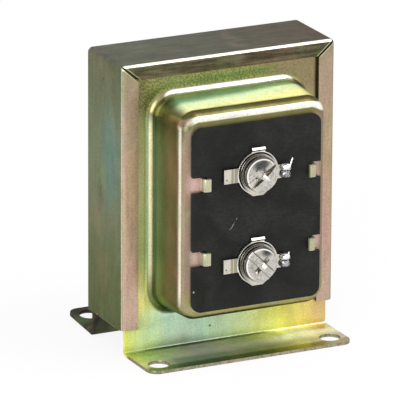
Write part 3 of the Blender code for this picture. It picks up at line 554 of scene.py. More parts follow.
@dataclass(frozen=True)
class Zinc:
    """Yellow-passivated zinc on sheet steel, which drifts between green and rose."""

    name: str
    drift: float = 0.34
    fine: Grain = Grain(0.00034, 3.0)
    fine_depth: float = 0.000012
    fine_light: Level = Level(0.67, 0.26)
    streak: Grain = Grain(0.0018, 4.0, (1.0, 1.0, 0.22))
    streak_light: float = 0.4
    streak_gloss: float = 0.05
    swell: Grain = Grain(0.004, 1.0)
    swell_depth: float = 0.00007
    dull: Grain = Grain(0.006, 3.0)
    dull_rough: Level = Level(0.27, 0.14)
    pits: Specks = Specks(0.0062, 0.035)
    pit_coat: Coat = Coat(Tint.PITCH, 0.75)
    pit_depth: float = 0.00003
    haze: Rise = Rise(0.08, 0.30)
    haze_share: float = 0.06

    def make(self) -> Material:
        """Build the material.

        Returns:
            The material.
        """
        tree = Tree.of_finish(self.name)
        colour = self.colour(tree)
        colour = tree.mix(colour, Tint.FERN, tree.drift.step(Rise(-0.08, 0.35)) * self.drift)
        colour = tree.mix(colour, Tint.ROSE, tree.drift.step(Rise(0.02, -0.35)) * self.drift)
        fine = tree.noise(self.fine)
        streak = tree.noise(self.streak)
        light = fine.step(Rise(0.3, 0.7)).level(self.fine_light)
        colour = tree.shade(colour, light + streak * self.streak_light)
        pits = tree.specks(self.pits)
        colour = tree.lay(colour, self.pit_coat, pits)
        relief = tree.bump(fine, self.fine_depth)
        relief = tree.bump(tree.noise(self.swell), self.swell_depth, relief)
        relief = tree.bump(1 - pits, self.pit_depth, relief)
        rough = tree.noise(self.dull).level(self.dull_rough) - streak * self.streak_gloss
        return tree.surface(colour, 1 - self.milk(tree), rough, relief, Specular_Tint=Tint.EDGE)

    def colour(self, tree: Tree) -> Signal:
        """Colour of the plating before its fine variation."""
        raise NotImplementedError

    def milk(self, tree: Tree) -> Signal:
        """Share of the light that a milky film over the plating scatters."""
        return tree.drift.step(self.haze) * self.haze_share


@dataclass(frozen=True)
class BandZinc(Zinc):
    """The band: darker along the top (a painted dark reflection), sage at the sides, rose on the
    turned-in edges, with painted highlights on its front folds.
    """

    name: str = "band_zinc"
    drift: float = 0.24
    foot: float = 0.007
    forward: Rise = Rise(0.5, 0.9)
    stray: float = 0.012

    # The lid, painted darker than the sides as a dark reflection
    lid_stray: float = 0.02
    lid_tints: Stops = ((0.0, (99, 99, 91)), (0.5, (96, 94, 86)), (1.0, (90, 73, 67)))
    rolled: Grain = Grain(0.0009, 4.0, (0.12, 1.0, 1.0))
    lid_light: Level = Level(0.78, 0.44)

    # Painted highlights on the front folds, broken up by a grain
    sheen_grain: Grain = Grain(0.003, 3.0)
    sheen_grain_share: Level = Level(0.75, 0.25)
    crest: Strip = Strip(0.35, 0.82, 0.08)
    fold: Strip = Strip(0.50, 0.66, 0.06)
    fold_highlight: Coat = Coat(Tint.CREAM, 0.6)

    # The sides
    side_tints: Stops = (
        (0.00, (92, 96, 64)), (0.22, (106, 114, 78)), (0.40, (120, 126, 98)),
        (0.62, (126, 132, 106)), (0.82, (118, 124, 98)), (1.00, (102, 107, 82)))
    cloud: Mark = Mark((0, -0.0005, 0.049), (FAR, 0.007, 0.017))
    cloud_coat: Coat = Coat(Tint.SEA, 0.85)
    smudge: Mark = Mark((0, 0.0046, 0.0425), (FAR, 0.0036, 0.0062))
    smudge_warp: float = 3.0
    scuff: Grain = Grain(0.0014, 4.0, (1, 1, 0.5), 1.0)
    scuff_share: Level = Level(0.35, 0.55)
    pit: Mark = Mark((0, 0.0029, 0.0687), (FAR, 0.0004, 0.0004))

    # The edges turned in over the covers
    flange_tints: Stops = (
        (0.00, (204, 176, 156)), (0.25, (206, 172, 150)), (0.50, (196, 170, 136)),
        (0.75, (188, 166, 136)), (1.00, (166, 154, 120)))
    drawn: Grain = Grain(0.0011, 3.0, (1.0, 1.0, 0.06))
    drawn_coat: Coat = Coat(Tint.MAUVE, 0.5)
    right_shade: float = 0.09
    brow_rise: float = 0.0004
    brow_light: Level = Level(0.42, 0.96)
    mitre: Rise = Rise(-0.02, 0.02)
    lip: Strip = Strip(0.10, 0.17, 0.02)
    lip_highlight: Coat = Coat(Tint.STRAW, 0.6)

    def colour(self, tree: Tree) -> Signal:
        """Colour of the band's faces.

        Args:
            tree: The finish's tree.

        Returns:
            The colour.
        """
        south = abs(tree.facing.y)
        rolled = tree.noise(self.rolled)
        colour = tree.mix(self._side(tree), self._flange(tree, rolled), south.step(self.forward))
        along = tree.at.x.uneven(self.lid_stray)
        # painted dark reflection: the lid is tinted darker than the sides
        lid = tree.ramp(along, -CASE_HALF, CASE_HALF, self.lid_tints)
        lid = tree.shade(lid, rolled.step(Rise(0.25, 0.75)).level(self.lid_light))
        colour = tree.mix(colour, lid, tree.facing.z.step(Rise(0.3, 0.9)))
        # painted highlights: cream along the top front fold and the front side folds, unevenly
        sheen_grain = tree.noise(self.sheen_grain).step(Rise(0.35, 0.6)).level(self.sheen_grain_share)
        crest = south.within(self.crest) * tree.facing.z.step(Rise(0.3, 0.5))
        colour = tree.mix(colour, Tint.CREAM, crest * sheen_grain)
        fold = south.within(self.fold) * abs(tree.facing.x).step(Rise(0.4, 0.6))
        return tree.lay(colour, self.fold_highlight, fold * sheen_grain)

    def _side(self, tree: Tree) -> Signal:
        """Sage sides, and at the left a blue-green cloud, a smudge and a pit.

        Args:
            tree: The finish's tree.

        Returns:
            The colour.
        """
        height = tree.at.z.uneven(self.stray)
        side = tree.ramp(height, self.foot, CASE_TOP, self.side_tints)
        left = tree.facing.x.step(Rise(0.0, -0.5))
        side = tree.lay(side, self.cloud_coat, tree.spot(self.cloud, tree.drift) * left)
        scuff = tree.noise(self.scuff).step(Rise(0.48, 0.58))
        smudge = tree.spot(self.smudge, tree.drift * self.smudge_warp) * left
        side = tree.mix(side, Tint.UMBER, smudge * scuff.level(self.scuff_share))
        return tree.mix(side, Tint.PITCH, tree.spot(self.pit) * left)

    def _flange(self, tree: Tree, rolled: Signal) -> Signal:
        """Edges turned in over the covers: rosy at the sides, a brown grained brow at the top, and a
        painted highlight beside each mitre.

        Args:
            tree: The finish's tree.
            rolled: Grain of the sheet from left to right.

        Returns:
            The colour.
        """
        height = tree.at.z.uneven(self.stray)
        flange = tree.ramp(height, self.foot, CASE_TOP, self.flange_tints)
        flange = tree.lay(flange, self.drawn_coat, tree.noise(self.drawn).step(Rise(0.48, 0.60)))
        right = tree.at.x.step(Rise(0.0, SIDE_FLANGE))
        flange = tree.shade(flange, 1 - right * self.right_shade)
        inset = (CASE_HALF - abs(tree.at.x)) / SIDE_FLANGE - (CASE_TOP - tree.at.z) / TOP_FLANGE
        edge = CASE_TOP - TOP_FLANGE
        above = tree.at.z.step(Rise(edge - self.brow_rise, edge))
        light = rolled.step(Rise(0.3, 0.7)).level(self.brow_light)
        brow = tree.shade(Tint.BROW.value, light)
        flange = tree.mix(flange, brow, inset.step(self.mitre) * above)
        # painted highlight: a light line either side of each mitre slot
        return tree.lay(flange, self.lip_highlight, abs(inset).within(self.lip) * above)


@dataclass(frozen=True)
class CoverZinc(Zinc):
    """A cover: olive plate, deep green pan and a yellow foot."""

    name: str = "front_zinc"
    face: float = -0.0065
    outward: float = -1.0
    pan_depth: float = 0.0153
    top: float = 0.073
    half: float = 0.028
    off_plate: Rise = Rise(0.00004, 0.0002)
    above_foot: Rise = Rise(0.0075, 0.0085)

    # What the band's edges hide, painted black as shade, and a painted shadow line beside them
    hidden_foot: Rise = Rise(0.008, 0.0085)
    hidden_top: Rise = Rise(0.042, 0.056)
    hidden_share: Level = Level(1.0, -0.7)
    lee_width: float = 0.0005
    lee_soft: float = 0.00012
    lee_gap: float = 0.0003
    flange_shadow_coat: Coat = Coat(Tint.UMBER, 0.6)

    # The milky film
    on_plate: Rise = Rise(0.0012, 0.0004)
    sill_stray: float = 0.004
    sill_film: Strip = Strip(0.0022, 0.0072, 0.0016)
    sill_share: float = 0.82
    strip_film: Rise = Rise(0.068, 0.060)
    strip_share: float = 0.12
    shelf_bright: Rise = Rise(0.0042, 0.0070)
    shelf_film: Strip = Strip(0.0040, 0.0122, 0.0008)
    shelf_share: Level = Level(0.30, 0.58)
    end_stray: float = 0.006
    end_film: Strip = Strip(0.0135, 0.0225, 0.004)
    end_depth: Strip = Strip(0.0008, 0.0085, 0.001)
    end_low: Rise = Rise(0.003, 0.0022)
    end_share: float = 0.6
    clip_share: float = 0.4

    # The plate
    plate_stray: float = 0.01
    plate_tints: Stops = (
        (0.00, (226, 230, 130)), (0.10, (236, 234, 136)), (0.20, (204, 204, 118)),
        (0.34, (168, 180, 112)), (0.60, (166, 168, 104)), (0.80, (168, 172, 106)),
        (1.00, (158, 152, 102)))
    strip: Rise = Rise(-0.0220, -0.0226)
    strip_tints: Stops = (
        (0.00, (238, 236, 116)), (0.16, (244, 234, 140)), (0.34, (230, 232, 162)),
        (0.60, (222, 220, 168)), (0.82, (202, 196, 146)), (0.94, (148, 140, 96)))
    strip_cover: float = 0.9
    wide_stray: float = 0.012
    far_side: Rise = Rise(0.004, 0.018)
    high: Rise = Rise(0.058, 0.064)
    far_coat: Coat = Coat(Tint.BUFF, 0.85)
    moss_stray: float = 0.002
    moss: Strip = Strip(0.0678, 0.0690, 0.0007)
    moss_side: Strip = Strip(-0.010, 0.012, 0.005)
    moss_coat: Coat = Coat(Tint.MOSS, 0.8)
    crust: Grain = Grain(0.0005)
    crust_share: Level = Level(0.6, -0.35)
    sill: Rise = Rise(0.014, 0.009)
    sill_tints: Stops = (
        (0.03, (230, 234, 112)), (0.20, (200, 236, 206)), (0.38, (202, 240, 210)),
        (0.58, (236, 255, 184)), (0.80, (252, 244, 116)), (0.97, (226, 188, 124)))
    pit: Mark = Mark((-0.0044, -0.0065, 0.0047), (0.0004, 0.0004, 0.0004))

    # The pan's walls
    wall_stray: float = 0.003
    wall_tints: Stops = (
        (0.10, (142, 172, 158)), (0.36, (150, 164, 124)), (0.62, (144, 136, 94)),
        (0.80, (120, 110, 76)), (1.00, (178, 160, 128)))
    high_stray: float = 0.006
    high_wall: Rise = Rise(0.056, 0.062)
    high_coat: Coat = Coat(Tint.OLIVE, 0.75)
    corner: Rise = Rise(0.0155, 0.0183)
    corner_coat: Coat = Coat(Tint.BRONZE, 0.85)
    shelf_slope: float = 0.08
    shelf_right: float = 0.09
    shelf_stray: float = 0.002
    shelf_tints: Stops = (
        (0.10, (158, 178, 122)), (0.22, (138, 184, 150)), (0.30, (166, 208, 160)),
        (0.46, (232, 252, 200)), (0.80, (254, 248, 164)))
    shelf_end: Rise = Rise(0.0120, 0.0127)

    # The clips
    clip_side: float = 0.0157
    clip_heights: Point = (0.0285, 0.0470)
    lap: Rise = Rise(0.0159, 0.0165)
    rightward: Rise = Rise(-0.001, 0.001)

    # The round at the pan's root: painted highlights, dulled by painted shade low down and at the
    # corners
    root: Rise = Rise(0.0030, 0.0016)
    root_height: Strip = Strip(0.017, 0.060, 0.002)
    root_low: Rise = Rise(0.026, 0.016)
    root_low_shade: Coat = Coat(Tint.RUSH, 0.85)
    root_turn_shade: Coat = Coat(Tint.OCHRE, 0.9)

    # The round at the pan's nose, with painted highlights and a painted dark spot, and its face
    nose: Rise = Rise(0.0118, 0.0128)
    nose_inner: Rise = Rise(-0.0183, -0.0161)
    nose_dim_highlight: Coat = Coat(Tint.COPPERY, 0.8)
    blush: Rise = Rise(0.12, 0.3)
    blush_share: float = 0.5
    blush_reach: Place = (0.0032, 0.002, 0.0044)
    face_low: Rise = Rise(0.022, 0.014)
    face_high: Rise = Rise(0.0600, 0.0622)
    flank_height: Rise = Rise(0.014, 0.019)
    nose_dark_spot: Mark = Mark((-0.0183, -0.0214, 0.0618), (0.0015, 0.0030, 0.0018))
    nose_dark_spot_coat: Coat = Coat(Tint.PAINTED_SHADE, 0.85)

    # The foot
    foot_stray: float = 0.01
    inner_tints: Stops = (
        (0.00, (236, 238, 150)), (0.12, (190, 210, 152)), (0.30, (178, 162, 156)),
        (0.60, (174, 176, 148)), (0.76, (246, 252, 200)), (1.00, (240, 230, 176)))
    outer_tints: Stops = (
        (0.00, (214, 218, 134)), (0.16, (106, 120, 90)), (0.30, (84, 100, 70)),
        (0.60, (92, 108, 64)), (0.78, (188, 188, 114)), (1.00, (182, 162, 136)))
    outer_stray: float = 0.004
    outer: Rise = Rise(0.0058, 0.0100)
    grit: Grain = Grain(0.0006)
    cut_depth: Rise = Rise(0.001, 0.002)

    def _depth(self, tree: Tree) -> Signal:
        """How far a place stands out from the plate's face."""
        return (tree.at.y - self.face) * self.outward

    def colour(self, tree: Tree) -> Signal:
        """Colour of the cover's faces.

        Args:
            tree: The finish's tree.

        Returns:
            The colour.
        """
        side, z = abs(tree.at.x), tree.at.z
        edge, brow = CASE_HALF - SIDE_FLANGE, CASE_TOP - TOP_FLANGE
        # painted shade: black on the plate where the band's edges cover it
        beside = side.step(Rise(edge - CRISP, edge + CRISP)) * z.step(self.hidden_foot)
        beside = beside * z.step(self.hidden_top).level(self.hidden_share)
        hidden = z.step(Rise(brow - CRISP * 2, brow)).or_more(beside)
        colour = tree.mix(self._plate(tree), Tint.PAINTED_SHADE, hidden)
        # painted shadow: a dark line along the band's inner edges
        lee = side.within(Strip(edge - self.lee_width, edge, self.lee_soft))
        run = Strip(self.above_foot.full, brow - self.lee_gap, self.lee_gap)
        colour = tree.lay(colour, self.flange_shadow_coat, lee * z.within(run))
        off_plate = self._depth(tree).step(self.off_plate)
        above = z.step(self.above_foot)
        colour = tree.mix(colour, self._pan(tree), off_plate * above)
        return tree.mix(colour, self._foot(tree), off_plate * (1 - above))

    def milk(self, tree: Tree) -> Signal:
        """The film is thick along the sill, on the pan's shelf and clips and on the foot's right end.

        Args:
            tree: The finish's tree.

        Returns:
            The film's share.
        """
        depth, z = self._depth(tree), tree.at.z
        plate = depth.step(self.on_plate)
        sill = z.uneven(self.sill_stray).within(self.sill_film) * plate * self.sill_share
        strip = tree.at.x.step(self.strip) * z.step(self.strip_film)
        strip = strip * plate * self.strip_share
        bright = (depth + self._slant(tree)).step(self.shelf_bright)
        shelf = bright.level(self.shelf_share) * depth.within(self.shelf_film)
        shelf = shelf * tree.facing.z.step(Rise(0.6, 0.9))
        end = tree.at.x.uneven(self.end_stray).within(self.end_film)
        end = end * depth.within(self.end_depth) * z.step(self.end_low)
        clip = depth.step(Rise(self.pan_depth - CRISP, self.pan_depth))
        return sill + strip + shelf + end * self.end_share + clip * self.clip_share

    def _slant(self, tree: Tree) -> Signal:
        """How far the shelf's tints shift towards the plate, more at the right."""
        slope = tree.at.x * self.shelf_slope + tree.at.x.or_more(0.0) * self.shelf_right
        return slope.uneven(self.shelf_stray)

    def _plate(self, tree: Tree) -> Signal:
        """The flat plate: speckled olive above, yellow and mint along the sill.

        Args:
            tree: The finish's tree.

        Returns:
            The colour.
        """
        x, z = tree.at.x, tree.at.z
        height, across = z.uneven(self.plate_stray), x.uneven(self.wide_stray)
        plate = tree.ramp(height, 0.0, self.top, self.plate_tints)
        strip = tree.ramp(height, 0.0, self.top, self.strip_tints)
        plate = tree.mix(plate, strip, x.step(self.strip) * self.strip_cover)
        far = across.step(self.far_side) * z.step(self.high)
        plate = tree.lay(plate, self.far_coat, far)
        moss = z.uneven(self.moss_stray).within(self.moss) * x.within(self.moss_side)
        plate = tree.lay(plate, self.moss_coat, moss)
        crust = tree.noise(self.crust).step(Rise(0.42, 0.60)) * height.step(self.high)
        plate = tree.mix(plate, Tint.CRUST, crust * far.level(self.crust_share))
        sill = tree.ramp(across, -self.half, self.half, self.sill_tints)
        plate = tree.mix(plate, sill, height.step(self.sill))
        return tree.mix(plate, Tint.PITCH, tree.spot(self.pit))

    def _pan(self, tree: Tree) -> Signal:
        """The drawn pan: green walls, painted highlights and shade on its rounds, painted shade
        underneath and a rosy face.

        Args:
            tree: The finish's tree.

        Returns:
            The colour.
        """
        up, depth = tree.facing.z, self._depth(tree)
        run = depth.uneven(self.wall_stray)
        wall = tree.ramp(run, 0.0, self.pan_depth, self.wall_tints)
        high = tree.at.z.uneven(self.high_stray).step(self.high_wall)
        wall = tree.lay(wall, self.high_coat, high * up.step(Rise(0.8, 0.4)))
        wall = tree.mix(wall, self._shelf(tree), up.step(Rise(0.3, 0.7)))
        corner = abs(tree.at.x).step(self.corner) * up.step(Rise(0.08, 0.3))
        wall = tree.lay(wall, self.corner_coat, corner)
        # painted shade: dark olive where the pan faces down
        wall = tree.mix(wall, Tint.BOTTLE, up.step(Rise(-0.5, -0.85)))
        wall = self._nose(tree, self._root(tree, wall))
        riser = depth.step(Rise(self.pan_depth - CRISP, self.pan_depth))
        wall = tree.mix(wall, Tint.BLUSH, riser * abs(tree.facing.x).step(Rise(0.5, 0.8)))
        clip = tree.mix(Tint.OAT, Tint.OAT_DEEP, tree.at.x.step(self.rightward))
        return tree.mix(wall, clip, depth.step(self.lap))

    def _shelf(self, tree: Tree) -> Signal:
        """The pan's upper wall: teal at the plate, pale yellow outwards, and a painted dark reflection
        in brown at the nose.

        Args:
            tree: The finish's tree.

        Returns:
            The colour.
        """
        depth = self._depth(tree)
        shelf = tree.ramp(depth + self._slant(tree), 0.0, self.pan_depth, self.shelf_tints)
        # painted dark reflection: a brown band on the shelf next to the nose
        return tree.mix(shelf, Tint.PEAT, depth.step(self.shelf_end))

    def _root(self, tree: Tree, wall: Signal) -> Signal:
        """Paint highlights on the round at the pan's root: white above, straw beside, with painted
        shade low down and at the corners.

        Args:
            tree: The finish's tree.
            wall: Colour of the wall.

        Returns:
            The colour.
        """
        east, up, z = abs(tree.facing.x), tree.facing.z, tree.at.z
        root = self._depth(tree).step(self.root)
        # painted highlights: white on the root along the top, straw on the roots at the sides
        wall = tree.mix(wall, Tint.CREAM, root * up.within(Strip(0.20, 0.94, 0.08)))
        beside = east.within(Strip(0.50, 0.93, 0.08)) * z.within(self.root_height)
        wall = tree.mix(wall, Tint.STRAW, root * beside * up.step(Rise(0.5, 0.3)))
        # painted shade: the root dulled low down and where it turns a corner
        low = z.step(self.root_low) * east.step(Rise(0.1, 0.3))
        wall = tree.lay(wall, self.root_low_shade, root * low)
        corner = (east - up).within(Strip(-0.40, 0.85, 0.10)) * up.step(Rise(0.06, 0.16))
        return tree.lay(wall, self.root_turn_shade, root * corner)

    def _nose(self, tree: Tree, wall: Signal) -> Signal:
        """Paint highlights on the round at the pan's nose, and lay its face and a painted dark spot
        beside it.

        Args:
            tree: The finish's tree.
            wall: Colour of the wall.

        Returns:
            The colour.
        """
        up = tree.facing.z
        nose = self._depth(tree).step(self.nose)
        inner = tree.at.x.step(self.nose_inner)
        # painted highlights: cream along the top of the nose, a dimmer coppery one towards its left end
        crest = nose * up.within(Strip(0.16, 0.62, 0.08))
        wall = tree.mix(wall, Tint.CREAM, crest * inner)
        wall = tree.lay(wall, self.nose_dim_highlight, crest * (1 - inner))
        front = abs(tree.facing.y).step(Rise(0.68, 0.82)) * up.step(Rise(0.25, 0.1))
        wall = tree.mix(wall, self._face(tree), front * nose)
        # painted highlight: ivory on the rounds at the sides of the nose
        flank = abs(tree.facing.x).within(Strip(0.86, 0.97, 0.04)) * abs(up).step(Rise(0.35, 0.15))
        flank = flank * tree.at.z.step(self.flank_height)
        wall = tree.mix(wall, Tint.IVORY, nose * flank)
        # painted shade: a dark spot where the top and side highlights meet
        return tree.lay(wall, self.nose_dark_spot_coat, tree.spot(self.nose_dark_spot, tree.drift) * nose)

    def _face(self, tree: Tree) -> Signal:
        """The pan's face: taupe, green at both ends and rosy about each clip.

        Args:
            tree: The finish's tree.

        Returns:
            The colour.
        """
        blush = tree.drift.step(self.blush) * self.blush_share
        for x in (-self.clip_side, self.clip_side):
            for z in self.clip_heights:
                mark = Mark((x, self.face - self.pan_depth, z), self.blush_reach)
                blush = blush.or_more(tree.spot(mark, tree.drift))
        face = tree.mix(Tint.TAUPE, Tint.REED, tree.at.z.step(self.face_low))
        face = tree.mix(face, Tint.KHAKI, tree.at.z.step(self.face_high))
        return tree.mix(face, Tint.PETAL, blush)

    def _foot(self, tree: Tree) -> Signal:
        """The foot: yellow ends and a deep green middle, deeper towards its free edge.

        Args:
            tree: The finish's tree.

        Returns:
            The colour.
        """
        depth = self._depth(tree)
        along = tree.at.x.uneven(self.foot_stray)
        inner = tree.ramp(along, -self.half, self.half, self.inner_tints)
        outer = tree.ramp(along, -self.half, self.half, self.outer_tints)
        foot = tree.mix(inner, outer, depth.uneven(self.outer_stray).step(self.outer))
        cut = tree.mix(Tint.CUT, Tint.CUT_LIGHT, tree.noise(self.grit).step(Rise(0.38, 0.55)))
        edge = abs(tree.facing.z).step(Rise(0.9, 0.5)) * depth.step(self.cut_depth)
        return tree.mix(foot, cut, edge)


@dataclass(frozen=True)
class ShadedZinc(CoverZinc):
    """The rear cover, with a painted dark reflection along its foot."""

    name: str = "rear_zinc"
    face: float = 0.0115
    outward: float = 1.0
    pit: Mark = Mark((-0.0044, 0.0115, 0.0047), (0.0004, 0.0004, 0.0004))
    haze: Rise = Rise(0.2, 0.5)
    haze_share: float = 0.02
    dark_reflection_height: Rise = Rise(0.0120, 0.0085)

    def colour(self, tree: Tree) -> Signal:
        """The cover's colour, with its foot and sill painted nearly black as a dark reflection."""
        # painted dark reflection over the foot and the sill
        dark_reflection = tree.mix(Tint.FOOT_REFLECTION, Tint.FOOT_REFLECTION_LIGHT, tree.drift.step(Rise(-0.1, 0.1)))
        return tree.mix(super().colour(tree), dark_reflection, tree.at.z.step(self.dark_reflection_height))

    def milk(self, tree: Tree) -> Signal:
        """No film but a slight haze."""
        return Zinc.milk(self, tree)


@dataclass(frozen=True)
class Fibre:
    """Black vulcanised fibre, with scuffs from handling."""

    name: str = "fibre_finish"
    dark: Colour = paint(13, 14, 12)
    light: Colour = paint(31, 31, 28)
    cloud: Grain = Grain(0.009, 3.0, swirl=0.8)
    cloud_rise: Rise = Rise(0.3, 0.75)
    weave: Grain = Grain(0.00035, 3.0, (0.35, 1.0, 1.0))
    weave_light: Level = Level(0.1, 1.8)
    weave_depth: float = 0.00002
    gloss: float = 0.22
    rough: Level = Level(0.42, 0.2)
    scratch_start: Point = (-0.0072, 0.0346)
    scratch_end: Point = (-0.0053, 0.0374)
    scratch_half_width: float = 0.00007
    scratch_fade: float = 0.0003
    scratch_coat: Coat = Coat(paint(150, 148, 138), 0.7)
    scratch_wander: float = 0.0012
    wander: Grain = Grain(0.002)
    gaps: Grain = Grain(0.0007)
    chip: Mark = Mark((-0.0170, 0.0, 0.0201), (0.0003, FAR, 0.0003))
    chip_coat: Coat = Coat(paint(176, 174, 160), 0.8)
    dust: Specks = Specks(0.0035, 0.03)
    dust_coat: Coat = Coat(paint(120, 118, 110), 0.7)

    def make(self) -> Material:
        """Build the material.

        Returns:
            The material.
        """
        tree = Tree.of_finish(self.name)
        cloud = tree.noise(self.cloud)
        weave = tree.noise(self.weave)
        colour = tree.mix(self.dark, self.light, cloud.step(self.cloud_rise))
        colour = tree.shade(colour, weave.level(self.weave_light))
        colour = tree.lay(colour, self.scratch_coat, self._scratch(tree))
        colour = tree.lay(colour, self.chip_coat, tree.spot(self.chip, cloud - 0.5))
        colour = tree.lay(colour, self.dust_coat, tree.specks(self.dust))
        relief = tree.bump(weave, self.weave_depth)
        return tree.surface(colour, 0.0, cloud.level(self.rough), relief,
                            Specular_IOR_Level=self.gloss)

    def _scratch(self, tree: Tree) -> Signal:
        """A fine scuff between two places on the board's face.

        Args:
            tree: The finish's tree.

        Returns:
            1 on the scuff.
        """
        run = self.scratch_end[0] - self.scratch_start[0]
        rise = self.scratch_end[1] - self.scratch_start[1]
        length = hypot(run, rise)
        from_x = tree.at.x - self.scratch_start[0]
        from_z = tree.at.z - self.scratch_start[1]
        along = from_x * (run / length) + from_z * (rise / length)
        across = from_z * (run / length) - from_x * (rise / length)
        wander = (tree.noise(self.wander) - 0.5) * self.scratch_wander
        width = Rise(self.scratch_half_width * 2, self.scratch_half_width)
        line = abs(across + wander).step(width)
        line = line * along.within(Strip(0, length, self.scratch_fade))
        return line * tree.noise(self.gaps).step(Rise(0.4, 0.5))


@dataclass(frozen=True)
class Nickel:
    """Bright nickel plate about a screw's axis, with painted shade, highlights and reflections, and a
    few marks of its own.
    """

    name: str
    axis: Vector
    bright: Colour = paint(214, 209, 196)
    dull: Colour = paint(150, 148, 140)
    shadow: Colour = paint(40, 38, 34)
    glint: Colour = paint(252, 250, 244)
    cloud: Grain = Grain(0.0028, 3.0, swirl=1.0)
    cloud_rise: Rise = Rise(0.42, 0.78)
    cloud_share: float = 0.55
    cloud_depth: float = 0.00006
    fine: Grain = Grain(0.00025)
    fine_light: Level = Level(0.86, 0.28)
    fine_depth: float = 0.000008
    rough: Level = Level(0.17, 0.14)
    lit_side: Rise = Rise(-0.0022, 0.0010)
    lit_slope: float = 0.7

    def make(self) -> Material:
        """Build the material.

        Returns:
            The material.
        """
        tree = Tree.of_finish(self.name)
        cloud = tree.noise(self.cloud)
        fine = tree.noise(self.fine)
        dull = cloud.step(self.cloud_rise) * self.cloud_share
        colour = self.mark(tree, tree.mix(self.bright, self.dull, dull), cloud - 0.5)
        colour = tree.shade(colour, fine.level(self.fine_light))
        relief = tree.bump(cloud, self.cloud_depth, tree.bump(fine, self.fine_depth))
        return tree.surface(colour, 1.0, cloud.level(self.rough), relief)

    def mark(self, tree: Tree, colour: Signal, warp: Signal) -> Signal:
        """Colour with the marks of this piece."""
        raise NotImplementedError

    def _ring(self, tree: Tree, radius: float, width: float) -> Signal:
        """A ring about the axis, for a painted shadow or highlight, that fades out at the lower right,
        away from the light.

        Args:
            tree: The finish's tree.
            radius: Its middle radius.
            width: Its width.

        Returns:
            1 on the ring.
        """
        across, rise = tree.at.x - self.axis.x, tree.at.z - self.axis.z
        lit = (rise * self.lit_slope - across * self.lit_slope).step(self.lit_side)
        ring = Strip(radius - width / 2, radius + width / 2, width / 4)
        return tree.radius(self.axis).within(ring) * lit


@dataclass(frozen=True)
class StampedNickel(Nickel):
    """A terminal plate: painted shade and a painted highlight where the ear is set back, and painted
    rings of shadow and highlight about the disc.
    """

    ear_start: float = -0.0054
    ear_fade: float = 0.0004
    band_width: float = 0.0019
    band_soft: float = 0.0003
    step_shade_coat: Coat = Coat(paint(146, 138, 110), 0.8)
    seam: Point = (0.0013, 0.0010)
    step_glint_share: float = 0.7
    ring: float = 0.00504
    ring_width: float = 0.0005
    glint_gap: float = 0.0004
    glint_width: float = 0.0003
    turned_height: Rise = Rise(0.0050, 0.0054)
    turned_share: float = 0.4
    pit: Point = (-0.0085, -0.0008)
    pit_reach: Place = (0.0003, FAR, 0.0003)

    def mark(self, tree: Tree, colour: Signal, warp: Signal) -> Signal:
        """Mark the ear and its top edge with painted shade and highlight, and the disc with painted
        rings.

        Args:
            tree: The finish's tree.
            colour: The plain plating.
            warp: Variation that makes outlines uneven.

        Returns:
            The colour.
        """
        across, rise, up = tree.at.x - self.axis.x, tree.at.z - self.axis.z, tree.facing.z
        start = self.ear_start
        ear = Strip(start - self.band_width, start, self.band_soft)
        # painted shade across the step where the ear is set back, with a painted highlight along it
        band = (across + warp * self.ear_fade).within(ear)
        colour = tree.lay(colour, self.step_shade_coat, band)
        seam = across.within(Strip(start - self.seam[0], start - self.seam[1], CRISP))
        colour = tree.mix(colour, self.bright, seam * self.step_glint_share)
        # painted shade along the ear's upper edge
        shaded_top_edge = up.step(Rise(0.5, 0.9)) * across.step(Rise(start, start - self.ear_fade))
        colour = tree.mix(colour, self.shadow, shaded_top_edge)
        # painted shadow ring and painted highlight ring about the disc
        colour = tree.mix(colour, self.shadow, self._ring(tree, self.ring, self.ring_width))
        glint = self._ring(tree, self.ring + self.glint_gap, self.glint_width)
        colour = tree.mix(colour, self.glint, glint)
        turned_up = up.step(Rise(0.2, 0.5)) * rise.step(self.turned_height)
        colour = tree.mix(colour, self.dull, turned_up * self.turned_share)
        place = (self.axis.x + self.pit[0], self.axis.y, self.axis.z + self.pit[1])
        return tree.mix(colour, self.shadow, tree.spot(Mark(place, self.pit_reach)))


